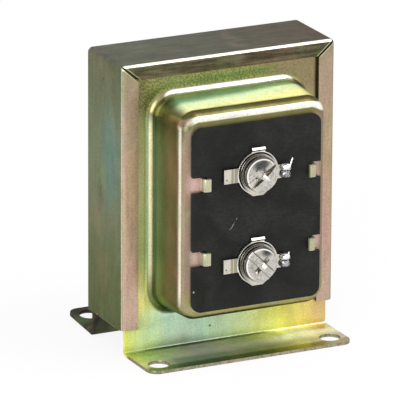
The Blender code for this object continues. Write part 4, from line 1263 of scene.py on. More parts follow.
@dataclass(frozen=True)
class HeadNickel(Nickel):
    """A screw: painted rings of shadow and highlight, a painted dark reflection on the dome and painted
    shade along its slot.
    """

    turn: float = 0.0
    dark_reflection: Point = (0.0, 0.0028)
    reach: Point = (0.0030, 0.0022)
    dark_reflection_coat: Coat = Coat(paint(54, 60, 62), 0.92)
    dark_reflection_warp: float = 0.8
    crown: float = -0.0267
    rim: float = 0.0043
    rim_edge: Rise = Rise(0.0042, 0.0039)
    lathe: Grain = Grain(0.0011, 3.0, swirl=2.0)
    lathe_share: float = 0.45
    ring_width: float = 0.0004
    ring_share: float = 0.9
    glint_gap: float = 0.0004
    glint_width: float = 0.0003
    dark_side_band: Strip = Strip(0.00115, 0.00205, CRISP)
    slot: Strip = Strip(0.00090, 0.00107, 0.00004)
    slot_end: float = 0.0003
    slot_shade: Coat = Coat(paint(84, 76, 60), 0.85)

    def mark(self, tree: Tree, colour: Signal, warp: Signal) -> Signal:
        """Mark the dome, the side of the head and the slot.

        Args:
            tree: The finish's tree.
            colour: The plain plating.
            warp: Variation that makes outlines uneven.

        Returns:
            The colour.
        """
        radius = tree.radius(self.axis)
        # painted dark reflection on the upper part of the dome
        centre = (self.axis.x + self.dark_reflection[0], self.crown, self.axis.z + self.dark_reflection[1])
        dark_reflection = Mark(centre, (self.reach[0], FAR, self.reach[1]))
        patch = tree.spot(dark_reflection, warp * self.dark_reflection_warp) * radius.step(self.rim_edge)
        colour = tree.lay(colour, self.dark_reflection_coat, patch)
        lathe = tree.noise(self.lathe).step(Rise(0.52, 0.60))
        colour = tree.mix(colour, self.dull, lathe * self.lathe_share)
        # painted shadow ring and painted highlight ring at the rim
        ring = self._ring(tree, self.rim, self.ring_width)
        colour = tree.mix(colour, self.shadow, ring * self.ring_share)
        glint = self._ring(tree, self.rim - self.glint_gap, self.glint_width)
        colour = tree.mix(colour, self.glint, glint)
        # painted dark reflection: a dark band round the side of the head
        dark_side_band = (tree.at.y - self.crown).within(self.dark_side_band)
        dark_side_band = dark_side_band * abs(tree.facing.y).step(Rise(0.75, 0.45))
        dark_side_band = dark_side_band * radius.step(Rise(self.rim - self.ring_width, self.rim))
        colour = tree.mix(colour, self.shadow, dark_side_band)
        # painted shade along both edges of the slot
        across, rise = tree.at.x - self.axis.x, tree.at.z - self.axis.z
        beside = abs(rise * cos(self.turn) - across * sin(self.turn))
        line = beside.within(self.slot)
        line = line * radius.step(Rise(self.rim, self.rim - self.slot_end))
        return tree.lay(colour, self.slot_shade, line)


@dataclass(frozen=True)
class Solder:
    """Solder painted bright at the top and grey below, with a dark line between: a painted reflection.
    """

    name: str
    middle: float
    cloud: Grain = Grain(0.0009, 3.0, swirl=1.5)
    grey: tuple[Colour, Colour] = (paint(176, 176, 178), paint(96, 94, 92))
    white: tuple[Colour, Colour] = (paint(248, 248, 248), paint(130, 128, 124))
    seam_warp: float = 0.0004
    reflection_line: Strip = Strip(-0.00018, 0.00006, 0.00008)
    reflection_line_coat: Coat = Coat(paint(70, 66, 58), 0.8)
    swell: Grain = Grain(0.0006)
    swell_depth: float = 0.0003
    rough: Level = Level(0.14, 0.3)

    def make(self) -> Material:
        """Build the material.

        Returns:
            The material.
        """
        tree = Tree.of_finish(self.name)
        cloud = tree.noise(self.cloud)
        grey = tree.mix(*self.grey, cloud.step(Rise(0.45, 0.62)))
        white = tree.mix(*self.white, cloud.step(Rise(0.58, 0.7)))
        # painted reflection: white above the seam of the lobes, grey below, a dark line between
        height = tree.at.z - self.middle + (cloud - 0.5) * self.seam_warp
        colour = tree.mix(grey, white, height.step(Rise(-CRISP, CRISP)))
        colour = tree.lay(colour, self.reflection_line_coat, height.within(self.reflection_line))
        relief = tree.bump(tree.noise(self.swell), self.swell_depth)
        return tree.surface(colour, 1.0, cloud.level(self.rough), relief)


@dataclass(frozen=True)
class Lamination:
    """Stacked silicon steel sheets, seen on edge or flat."""

    name: str
    sheet: float = 0.0005
    gap: Colour = paint(44, 46, 50)
    steel: Colour = paint(112, 114, 118)
    edge_depth: float = 0.00008
    cloud: Grain = Grain(0.005, 3.0)
    rust: Rise = Rise(0.58, 0.8)
    rust_coat: Coat = Coat(paint(120, 92, 70), 0.4)
    metallic: float = 0.8
    rough: Level = Level(0.4, 0.2)

    def make(self) -> Material:
        """Build the material.

        Returns:
            The material.
        """
        tree = Tree.of_finish(self.name)
        edge = tree.at.y.wave(self.sheet).step(Rise(0.1, 0.6))
        cloud = tree.noise(self.cloud)
        colour = tree.mix(self.gap, self.steel, edge)
        colour = tree.lay(colour, self.rust_coat, cloud.step(self.rust))
        relief = tree.bump(edge, self.edge_depth)
        return tree.surface(colour, self.metallic, cloud.level(self.rough), relief)


@dataclass(frozen=True)
class Wound:
    """Turns of enamelled wire side by side."""

    name: str
    enamel: Colour
    pitch: float
    stray: Grain = Grain(0.006)
    stray_reach: float = 0.0006
    light: Level = Level(0.55, 0.6)
    metallic: float = 0.55
    roughness: float = 0.3

    def make(self) -> Material:
        """Build the material.

        Returns:
            The material.
        """
        tree = Tree.of_finish(self.name)
        stray = (tree.noise(self.stray) - 0.5) * self.stray_reach
        turn = (tree.at.x + stray).wave(self.pitch)
        colour = tree.shade(self.enamel, turn.level(self.light))
        relief = tree.bump(turn, self.pitch / 3)
        return tree.surface(colour, self.metallic, self.roughness, relief)


@dataclass(frozen=True)
class Plain:
    """A soft insulating material with a grain: nylon, tape, paper or sleeving."""

    name: str
    light: Colour
    dark: Colour
    grain: float = 0.0006
    stretch: Place = (1.0, 1.0, 1.0)
    grain_share: float = 0.6
    coarser: float = 12.0
    rough: Level = Level(0.55, 0.1)
    metallic: float = 0.0

    def make(self) -> Material:
        """Build the material.

        Returns:
            The material.
        """
        tree = Tree.of_finish(self.name)
        grain = tree.noise(Grain(self.grain, 3.0, self.stretch))
        cloud = tree.noise(Grain(self.grain * self.coarser))
        blend = grain * self.grain_share + cloud * (1 - self.grain_share)
        colour = tree.mix(self.dark, self.light, blend.step(Rise(0.3, 0.65)))
        relief = tree.bump(grain, self.grain / self.coarser)
        return tree.surface(colour, self.metallic, cloud.level(self.rough), relief)


# Shapes

@dataclass(frozen=True)
class Box:
    """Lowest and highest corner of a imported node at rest."""

    low: Vector
    high: Vector

    @classmethod
    def of(cls, node: str) -> "Box":
        """Box of a node."""
        return cls(*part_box(node))

    @property
    def middle(self) -> Vector:
        """Centre of the box."""
        return (self.low + self.high) / 2

    @property
    def half(self) -> Vector:
        """Half of its size."""
        return (self.high - self.low) / 2


def arc(centre: Point, radius: float, start: float, end: float, steps: int) -> list[Point]:
    """Points along an arc, both ends included."""
    turns = [start + (end - start) * step / steps for step in range(steps + 1)]
    return [(centre[0] + radius * cos(turn), centre[1] + radius * sin(turn)) for turn in turns]


def rounded_rectangle(half_width: float, low: float, high: float, radius: float,
                      steps: int) -> list[Point]:
    """Outline with round corners, counter-clockwise from the lower left.

    Args:
        half_width: Half its width, either side of zero.
        low: Lower edge.
        high: Upper edge.
        radius: Radius of the corners.
        steps: Facets round each corner.

    Returns:
        The outline.
    """
    reach = half_width - radius
    return (arc((-reach, low + radius), radius, pi, pi * 3 / 2, steps)
            + arc((reach, low + radius), radius, -pi / 2, 0, steps)
            + arc((reach, high - radius), radius, 0, pi / 2, steps)
            + arc((-reach, high - radius), radius, pi / 2, pi, steps))


Shape = bmesh.types.BMesh
Ring = Sequence[bmesh.types.BMVert]


def lay_rows(shape: Shape, rows: Sequence[Ring], closed: bool = False) -> None:
    """Lay faces between rows of corners.

    Args:
        shape: The mesh.
        rows: The rows, each with as many corners.
        closed: Whether a row's end joins its start.
    """
    for near, far in zip(rows, rows[1:]):
        for step in range(len(near) if closed else len(near) - 1):
            after = (step + 1) % len(near)
            shape.faces.new((near[step], near[after], far[after], far[step]))


def close_tip(shape: Shape, ring: Ring, tip: Vector) -> None:
    """Close a ring with faces that meet in one point.

    Args:
        shape: The mesh.
        ring: The ring.
        tip: The point.
    """
    point = shape.verts.new(tip)
    for step, corner in enumerate(ring):
        shape.faces.new((corner, ring[(step + 1) % len(ring)], point))


def turn_out(shape: Shape, way: Vector) -> None:
    """Make the faces of an open surface agree, and the face furthest along a way look along it.

    Args:
        shape: The mesh.
        way: The way.
    """
    bmesh.ops.recalc_face_normals(shape, faces=shape.faces)
    furthest = max(shape.faces, key=lambda face: face.calc_center_median().dot(way))
    if furthest.normal.dot(way) < 0:
        bmesh.ops.reverse_faces(shape, faces=shape.faces)


class Workpiece:
    """A mesh on the bench, with the operations of a small metal shop."""

    def __init__(self, name: str, shape: Shape) -> None:
        """Put a shape on the bench.

        Args:
            name: Name of the piece.
            shape: Its mesh, which is used up.
        """
        mesh = bpy.data.meshes.new(name)
        shape.to_mesh(mesh)
        shape.free()
        self.item = bpy.data.objects.new(name, mesh)
        bpy.context.scene.collection.objects.link(self.item)

    def _settle(self) -> None:
        """Turn the modifiers into mesh."""
        bpy.context.view_layer.update()
        graph = bpy.context.evaluated_depsgraph_get()
        mesh = bpy.data.meshes.new_from_object(self.item.evaluated_get(graph))
        self.item.modifiers.clear()
        old = self.item.data
        self.item.data = mesh
        bpy.data.meshes.remove(old)

    def _modify(self, kind: str, settings: Mapping[str, Any]) -> None:
        """Run one modifier.

        Args:
            kind: Its type.
            settings: Its properties.
        """
        step = self.item.modifiers.new(kind.lower(), kind)
        for name, value in settings.items():
            setattr(step, name, value)
        self._settle()

    def thicken(self, thickness: float) -> "Workpiece":
        """Give an open surface its thickness, behind its faces."""
        self._modify("SOLIDIFY", {"thickness": thickness, "offset": -1, "use_even_offset": True,
                                  "use_quality_normals": True})
        return self

    def combine(self, operation: str, *others: "Workpiece") -> "Workpiece":
        """Cut other workpieces out of this one, or join them to it; they are used up.

        Args:
            operation: DIFFERENCE or UNION.
            *others: The other workpieces.

        Returns:
            This one.
        """
        for other in others:
            self._modify("BOOLEAN", {"object": other.item, "operation": operation, "solver": "EXACT"})
            mesh = other.item.data
            bpy.data.objects.remove(other.item)
            bpy.data.meshes.remove(mesh)
        return self

    def ease(self, width: float, flat: bool = True) -> "Workpiece":
        """Break the sharp edges and shade the rounds smooth.

        Args:
            width: Width of the broken edge.
            flat: Whether its broad faces are flat, and may lose the edges that cross them.

        Returns:
            This one.
        """
        shape = bmesh.new()
        shape.from_mesh(self.item.data)
        bmesh.ops.remove_doubles(shape, verts=shape.verts, dist=MERGE)
        if flat:
            bmesh.ops.dissolve_limit(shape, angle_limit=FLAT_TURN, verts=shape.verts,
                                     edges=shape.edges)
        shape.to_mesh(self.item.data)
        shape.free()
        self._modify("BEVEL", {"width": width, "segments": EASE_STEPS, "limit_method": "ANGLE",
                               "angle_limit": EASE_TURN, "use_clamp_overlap": True})
        self.item.data.shade_smooth()
        self.item.data.set_sharp_from_angle(angle=HARD_TURN)
        if flat:
            self._modify("WEIGHTED_NORMAL", {"keep_sharp": True, "weight": FACE_WEIGHT})
        return self

    def fit(self, node: str, slot: str, finish: Material) -> None:
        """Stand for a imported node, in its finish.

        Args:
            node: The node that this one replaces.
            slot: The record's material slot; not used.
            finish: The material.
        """
        self.item.data.materials.clear()
        self.item.data.materials.append(finish)
        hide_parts(node)
        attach(self.item, BODY)
        LOG.info("%s: %d faces in %s", self.item.name, len(self.item.data.polygons), finish.name)


def extruded(name: str, outline: Sequence[Point], near: float, far: float) -> Workpiece:
    """A flat body from an outline in X and Z.

    Args:
        name: Name of the piece.
        outline: Its outline.
        near: Its front, in Y.
        far: Its back, in Y.

    Returns:
        The workpiece.
    """
    shape = bmesh.new()
    face = shape.faces.new([shape.verts.new((x, near, z)) for x, z in outline])
    grown = bmesh.ops.extrude_face_region(shape, geom=[face])
    moved = [item for item in grown["geom"] if isinstance(item, bmesh.types.BMVert)]
    bmesh.ops.translate(shape, verts=moved, vec=(0, far - near, 0))
    bmesh.ops.recalc_face_normals(shape, faces=shape.faces)
    return Workpiece(name, shape)


def rod(name: str, radius: float, start: Vector, end: Vector, steps: int = 48) -> Workpiece:
    """A round bar between two points.

    Args:
        name: Name of the piece.
        radius: Its radius.
        start: Middle of one end.
        end: Middle of the other.
        steps: Facets round it.

    Returns:
        The workpiece.
    """
    along = end - start
    turn = along.to_track_quat("Z", "Y").to_matrix().to_4x4()
    shape = bmesh.new()
    bmesh.ops.create_cone(shape, cap_ends=True, segments=steps, radius1=radius, radius2=radius,
                          depth=along.length, matrix=Matrix.Translation((start + end) / 2) @ turn)
    return Workpiece(name, shape)


def turned(name: str, profile: Sequence[Point], centre: Vector, steps: int = 72) -> Workpiece:
    """A body turned about an axis along -Y.

    Args:
        name: Name of the piece.
        profile: Radius and Y, from the front to the back, both ends on the axis.
        centre: X and Z of the axis.
        steps: Facets round it.

    Returns:
        The workpiece.
    """
    shape = bmesh.new()
    rings = []
    for radius, y in profile[1:-1]:
        ring = [shape.verts.new((centre.x + radius * cos(2 * pi * step / steps), y,
                                 centre.z + radius * sin(2 * pi * step / steps)))
                for step in range(steps)]
        rings.append(ring)
    lay_rows(shape, rings, closed=True)
    for ring, y in ((rings[0], profile[0][1]), (rings[-1], profile[-1][1])):
        close_tip(shape, ring, Vector((centre.x, y, centre.z)))
    bmesh.ops.recalc_face_normals(shape, faces=shape.faces)
    return Workpiece(name, shape)


# Case

@dataclass
class Band:
    """The band folded over the top and the sides."""

    box: Box = Box.of("case_band")
    bend: float = 0.0013
    tab_length: float = 0.0052
    tab_width: float = 0.0086
    tab_shift: float = -0.0010
    slit: float = 0.0007
    slit_rise: float = 0.0003
    slit_depth: float = 0.0008
    left_mitre: Point = (0.00028, 0.00095)
    right_mitre: Point = (0.00045, 0.00038)
    edge: float = 0.00016
    steps: int = 12

    def build(self) -> Workpiece:
        """Fold the sheet and cut its mitres.

        Returns:
            The band.
        """
        stations = self._stations()
        columns = self._columns()
        shape = bmesh.new()
        grid = [[shape.verts.new(self._point(station, column)) for column in columns]
                for station in stations]
        first = self.steps + 2
        last = len(stations) - 2
        for row in range(len(stations) - 1):
            for column in range(len(columns) - 1):
                if row in (0, last) and first <= column < first + 3:
                    continue
                shape.faces.new((grid[row][column], grid[row + 1][column],
                                 grid[row + 1][column + 1], grid[row][column + 1]))
        for row, side in ((1, -1), (last, 1)):
            self._fold_tab(shape, [grid[row][first + 1], grid[row][first + 2]], side)
        bmesh.ops.remove_doubles(shape, verts=shape.verts, dist=MERGE)
        bmesh.ops.dissolve_degenerate(shape, edges=shape.edges, dist=MERGE)
        turn_out(shape, Vector((0, 0, 1)))
        band = Workpiece("band", shape).thicken(SHEET)
        for facing in (-1, 1):
            band.combine("DIFFERENCE", self._mitre(-1, facing, *self.left_mitre),
                         self._mitre(1, facing, *self.right_mitre))
        return band.ease(self.edge)

    def _stations(self) -> list[tuple[Point, Point, Point]]:
        """Stations along the band, from its left end over the top to its right end.

        Returns:
            For each, its point in X and Z, the way inward and the edge of its flange.
        """
        half = self.box.high.x
        top = self.box.high.z
        turn_x, turn_z = half - self.bend, top - self.bend
        slit_top = self.box.low.z + self.bend + self.slit_rise
        mitre = (-half + SIDE_FLANGE, top - TOP_FLANGE)
        left = [((-half, z), (1.0, 0.0), (mitre[0], z)) for z in (slit_top - self.slit_depth, slit_top)]
        left.append(((-half, turn_z), (1.0, 0.0), mitre))
        for x, z in arc((0, 0), 1.0, pi, pi / 2, self.steps)[1:]:
            left.append(((self.bend * x - turn_x, self.bend * z + turn_z), (-x, -z), mitre))
        return left + [((-point[0], point[1]), (-inward[0], inward[1]), (-edge[0], edge[1]))
                       for point, inward, edge in reversed(left)]

    def _columns(self) -> list[tuple[float | None, float]]:
        """Columns across the band, front to rear.

        Returns:
            For each, its depth inward and its Y; the flange edges have no depth.
        """
        half = self.box.half.y
        turn = half - self.bend
        front = [(None, -half)]
        for step in range(self.steps + 1):
            angle = pi / 2 * step / self.steps
            front.append((self.bend - self.bend * sin(angle), -turn - self.bend * cos(angle)))
        near = self.tab_shift - self.tab_width / 2
        far = near + self.tab_width
        middle = [(0.0, -y) for y in (-near + self.slit, -near, -far, -far - self.slit)]
        return front + middle + [(depth, -y) for depth, y in reversed(front)]

    def _point(self, station: tuple[Point, Point, Point],
               column: tuple[float | None, float]) -> Vector:
        """Where a station and a column meet.

        Args:
            station: A place along the band.
            column: A place across it.

        Returns:
            The point.
        """
        point, inward, edge = station
        depth, y = column
        middle = self.box.middle.y
        if depth is None:
            return Vector((edge[0], middle + y, edge[1]))
        return Vector((point[0] + inward[0] * depth, middle + y, point[1] + inward[1] * depth))

    def _fold_tab(self, shape: Shape, edge: list[bmesh.types.BMVert], side: int) -> None:
        """Fold a tab in under the core.

        Args:
            shape: The band's surface.
            edge: The edge of the side wall that it hangs on.
            side: -1 at the left, 1 at the right.
        """
        outside = side * self.box.high.x
        low = self.box.low.z
        path = [(outside - side * (self.bend - x), z)
                for x, z in arc((0, low + self.bend), self.bend, 0, -pi / 2, self.steps)]
        path.append((outside - side * self.tab_length, low))
        lay_rows(shape, [edge] + [[shape.verts.new((x, vert.co.y, z)) for vert in edge]
                                  for x, z in path])

    def _mitre(self, side: int, facing: int, tip_gap: float, end_gap: float) -> Workpiece:
        """Cutter for the slot along a corner of the turned-in edges.

        Args:
            side: -1 at the left, 1 at the right.
            facing: -1 at the front, 1 at the rear.
            tip_gap: Width of the slot at the corner.
            end_gap: Its width at the inner end.

        Returns:
            The cutter.
        """
        half = self.box.high.x
        top = self.box.high.z
        tip = Vector((side * (half - self.bend / 3), top - self.bend / 3))
        inner = Vector((side * (half - SIDE_FLANGE), top - TOP_FLANGE))
        along = (inner - tip).normalized()
        across = Vector((-along.y, along.x))
        start = tip - along * self.bend
        end = inner + along * self.bend
        outline = [start + across * tip_gap / 2, end + across * end_gap / 2,
                   end - across * end_gap / 2, start - across * tip_gap / 2]
        face = self.box.middle.y + facing * self.box.half.y
        return extruded("mitre", [tuple(point) for point in outline], face - facing * (SHEET + FIT),
                        face + facing * OVERRUN)


@dataclass
class Cover:
    """A cover: plate, drawn pan and foot. The front one carries four lanced clips."""

    node: str = "front_cover"
    facing: int = -1
    foot_lift: float = 0.0
    band: Box = Box.of("case_band")
    rear: Box = Box.of("rear_cover")
    board: Box = Box.of("terminal_board")
    pan_height: float = 0.0546
    pan_drop: float = 0.0019
    corner: float = 0.0055
    root: float = 0.0020
    nose: float = 0.0028
    draft: float = radians(4.0)
    foot_reach: float = 0.0153
    foot_bend: float = 0.0005
    foot_corner: float = 0.0028
    nick: float = 0.00025
    hole: float = 0.0053
    hole_side: float = 0.0042
    hole_edge: float = 0.0047
    edge: float = 0.00014
    steps: int = 12

    def __post_init__(self) -> None:
        """Work out what follows from the frame."""
        own = Box.of(self.node)
        self.half = own.half.x
        self.shift = own.middle.x
        self.top = own.high.z
        self.middle = self.band.middle.y
        self.plate = self.band.half.y - SHEET - FIT
        self.pan = self.rear.high.y - self.middle - self.plate

    def depth(self, depth: float) -> float:
        """Y of a depth in front of the plate's face."""
        return self.middle + self.facing * (self.plate + depth)

    def build(self) -> Workpiece:
        """Draw the pan, bend the foot and punch the holes.

        Returns:
            The cover.
        """
        shape = self._surface()
        if self.facing > 0:
            bmesh.ops.rotate(shape, verts=shape.verts, cent=(0, 0, 0),
                             matrix=Matrix.Rotation(pi, 3, "Z"))
        bmesh.ops.translate(shape, verts=shape.verts, vec=(self.shift, self.middle, 0))
        cover = Workpiece(self.node.replace("_cover", "_shell"), shape).thicken(SHEET)
        self._punch(cover)
        if self.facing < 0:
            Clips(self).lance(cover)
        return cover.ease(self.edge)

    def _section(self) -> list[Point]:
        """Section of the pan, from the plate to its face.

        Returns:
            For each point, how far the outline grows there, and its depth.
        """
        lean_cos, lean_sin, slope = cos(self.draft), sin(self.draft), tan(self.draft)
        touch = self.root * (1 - lean_sin)
        middle = self.root * lean_cos - touch * slope
        section = []
        for step in range(self.steps + 1):
            turn = (pi / 2 - self.draft) * step / self.steps
            section.append((middle - self.root * sin(turn), self.root - self.root * cos(turn)))
        touch = self.pan - self.nose * (1 - lean_sin)
        middle = -touch * slope - self.nose * lean_cos
        for step in range(self.steps + 1):
            turn = self.draft + (pi / 2 - self.draft) * step / self.steps
            section.append((middle + self.nose * cos(turn),
                            self.pan - self.nose + self.nose * sin(turn)))
        return section

    def _surface(self) -> Shape:
        """The outside of the cover as one open surface facing -Y.

        Returns:
            The surface.
        """
        shape = bmesh.new()
        centre = (self.top + Box.of("core_e_stack").low.z) / 2 - self.pan_drop
        rings = []
        for growth, depth in self._section():
            outline = rounded_rectangle(PAN_WIDTH / 2 + growth,
                                        centre - self.pan_height / 2 - growth,
                                        centre + self.pan_height / 2 + growth,
                                        self.corner + growth, self.steps)
            rings.append([shape.verts.new((x, -(self.plate + depth), z)) for x, z in outline])
        lay_rows(shape, rings, closed=True)
        shape.faces.new(rings[-1])
        fold = SHEET + self.foot_bend
        frame = [shape.verts.new((x, -self.plate, z)) for x, z in
                 ((-self.half, fold), (self.half, fold), (self.half, self.top), (-self.half, self.top))]
        loops = []
        for ring in (frame, rings[0]):
            for pair in zip(ring, ring[1:] + ring[:1]):
                loops.append(shape.edges.get(pair) or shape.edges.new(pair))
        bmesh.ops.triangle_fill(shape, use_beauty=True, edges=loops, normal=(0, -1, 0))
        self._add_foot(shape, frame[0], frame[1])
        turn_out(shape, Vector((0, -1, 0)))
        return shape

    def _add_foot(self, shape: Shape, left: bmesh.types.BMVert,
                  right: bmesh.types.BMVert) -> None:
        """Bend the plate's lower edge out into a foot with round corners.

        Args:
            shape: The cover's surface.
            left: Lower left corner of the plate.
            right: Lower right corner.
        """
        reach = self.foot_reach - self.foot_bend
        rise = asin(self.foot_lift / reach)
        axis_y, axis_z = -self.plate - self.foot_bend, SHEET + self.foot_bend
        rows = [[left, right]]
        for step in range(1, self.steps + 1):
            turn = (pi / 2 - rise) * step / self.steps
            y, z = axis_y + self.foot_bend * cos(turn), axis_z - self.foot_bend * sin(turn)
            rows.append([shape.verts.new((x, y, z)) for x in (-self.half, self.half)])
        lay_rows(shape, rows)
        start = rows[-1][0].co.copy()
        outline = arc((self.half - self.foot_corner, reach - self.foot_corner), self.foot_corner, 0,
                      pi / 2, self.steps)
        outline += [(-x, out) for x, out in reversed(outline)]
        tip = [shape.verts.new((x, start.y - cos(rise) * out, start.z + sin(rise) * out))
               for x, out in outline]
        shape.faces.new(rows[-1] + tip)

    def _punch(self, cover: Workpiece) -> None:
        """Cut the mounting holes, and the nicks at the ends of the bend.

        Args:
            cover: The cover's workpiece.
        """
        y = self.depth(self.foot_reach - self.hole_edge)
        for side in (-1, 1):
            x = self.shift + side * (self.half - self.hole_side)
            hole = rod("hole", self.hole / 2, Vector((x, y, -OVERRUN)),
                       Vector((x, y, SHEET + self.foot_lift + OVERRUN)))
            end = self.shift + side * self.half
            nick = rod("nick", self.nick, Vector((end, self.depth(0), -OVERRUN)),
                       Vector((end, self.depth(0), SHEET + self.foot_bend + self.nick)))
            cover.combine("DIFFERENCE", hole, nick)


@dataclass
class Clips:
    """The four clips lanced from the pan's face, and the window between them."""

    cover: Cover
    height: float = 0.0031
    lap: float = 0.0008
    inset: float = 0.0020
    radius: float = 0.0009
    window: Point = (0.0180, 0.03605)
    window_drop: float = 0.0008
    window_corner: float = 0.0020

    def lance(self, cover: Workpiece) -> None:
        """Cut the window and the gaps, and stand the clips up out of them.

        Args:
            cover: The cover's workpiece.
        """
        board = self.cover.board
        face = board.high.y + FIT
        back = face + SHEET + OVERRUN
        middle = board.middle.z
        centre = middle - self.window_drop
        outline = rounded_rectangle(self.window[0] / 2, centre - self.window[1] / 2,
                                    centre + self.window[1] / 2, self.window_corner, self.cover.steps)
        cover.combine("DIFFERENCE", extruded("window", outline, face - OVERRUN, back))
        root = board.high.x - self.inset
        inside = root - SHEET
        lanced = board.half.y * 2 + SHEET * 2 + self.lap
        top = board.low.y - FIT - SHEET
        for side in (-1, 1):
            near = CLIP_SHIFT + side * inside
            far = CLIP_SHIFT + side * (inside - lanced)
            for z in (middle - CLIP_DROP - CLIP_SPACING / 2, middle - CLIP_DROP + CLIP_SPACING / 2):
                low, high = z - self.height / 2, z + self.height / 2
                gap = extruded("gap", [(far, low), (near, low), (near, high), (far, high)],
                               face - OVERRUN, back)
                cover.combine("DIFFERENCE", gap)
                path = [(root, face + SHEET / 2)]
                path += [(x, -y) for x, y in arc((root - self.radius, -top - self.radius), self.radius,
                                                 0, pi / 2, self.cover.steps)]
                path.append((inside - FIT - self.lap, top))
                cover.combine("UNION", self._strip([(CLIP_SHIFT + side * x, y) for x, y in path],
                                                   low, high, side))

    @staticmethod
    def _strip(path: Sequence[Point], low: float, high: float, side: int) -> Workpiece:
        """One clip, as a folded strip.

        Args:
            path: Its outside in X and Y, from the pan up.
            low: Lower edge.
            high: Upper edge.
            side: -1 at the left, 1 at the right.

        Returns:
            The workpiece.
        """
        shape = bmesh.new()
        rows = [[shape.verts.new((x, y, z)) for z in (low, high)] for x, y in path]
        for near, far in zip(rows, rows[1:]):
            corners = (near[0], near[1], far[1], far[0])
            shape.faces.new(corners if side > 0 else tuple(reversed(corners)))
        return Workpiece("clip", shape).thicken(SHEET)


# Board and terminals

@dataclass
class Board:
    """The fibre board, with a notch for each clip."""

    box: Box = Box.of("terminal_board")
    corner: float = 0.0024
    notch_end: float = 0.0142
    notch_height: float = 0.0040
    collar: float = 0.0033
    edge: float = 0.00012
    steps: int = 12

    def build(self) -> Workpiece:
        """Punch the board.

        Returns:
            The board.
        """
        half, low, high = self.box.high.x, self.box.low.z, self.box.high.z
        middle = self.box.middle.z - CLIP_DROP
        sides = []
        for side in (1, -1):
            edge = arc((half - self.corner, low + self.corner), self.corner, -pi / 2, 0, self.steps)
            inner = self.notch_end + side * CLIP_SHIFT
            for z in (middle - CLIP_SPACING / 2, middle + CLIP_SPACING / 2):
                bottom, top = z - self.notch_height / 2, z + self.notch_height / 2
                edge += [(half, bottom), (inner, bottom), (inner, top), (half, top)]
            edge += arc((half - self.corner, high - self.corner), self.corner, 0, pi / 2, self.steps)
            sides.append(edge)
        outline = sides[0] + [(-x, z) for x, z in reversed(sides[1])]
        board = extruded("fibre_board", outline, self.box.low.y, self.box.high.y)
        for end in ("lower", "upper"):
            axis = Box.of(end + "_terminal_screw").middle
            board.combine("DIFFERENCE", rod("bore", self.collar,
                                            Vector((axis.x, self.box.low.y - OVERRUN, axis.z)),
                                            Vector((axis.x, self.box.high.y + OVERRUN, axis.z))))
        return board.ease(self.edge)


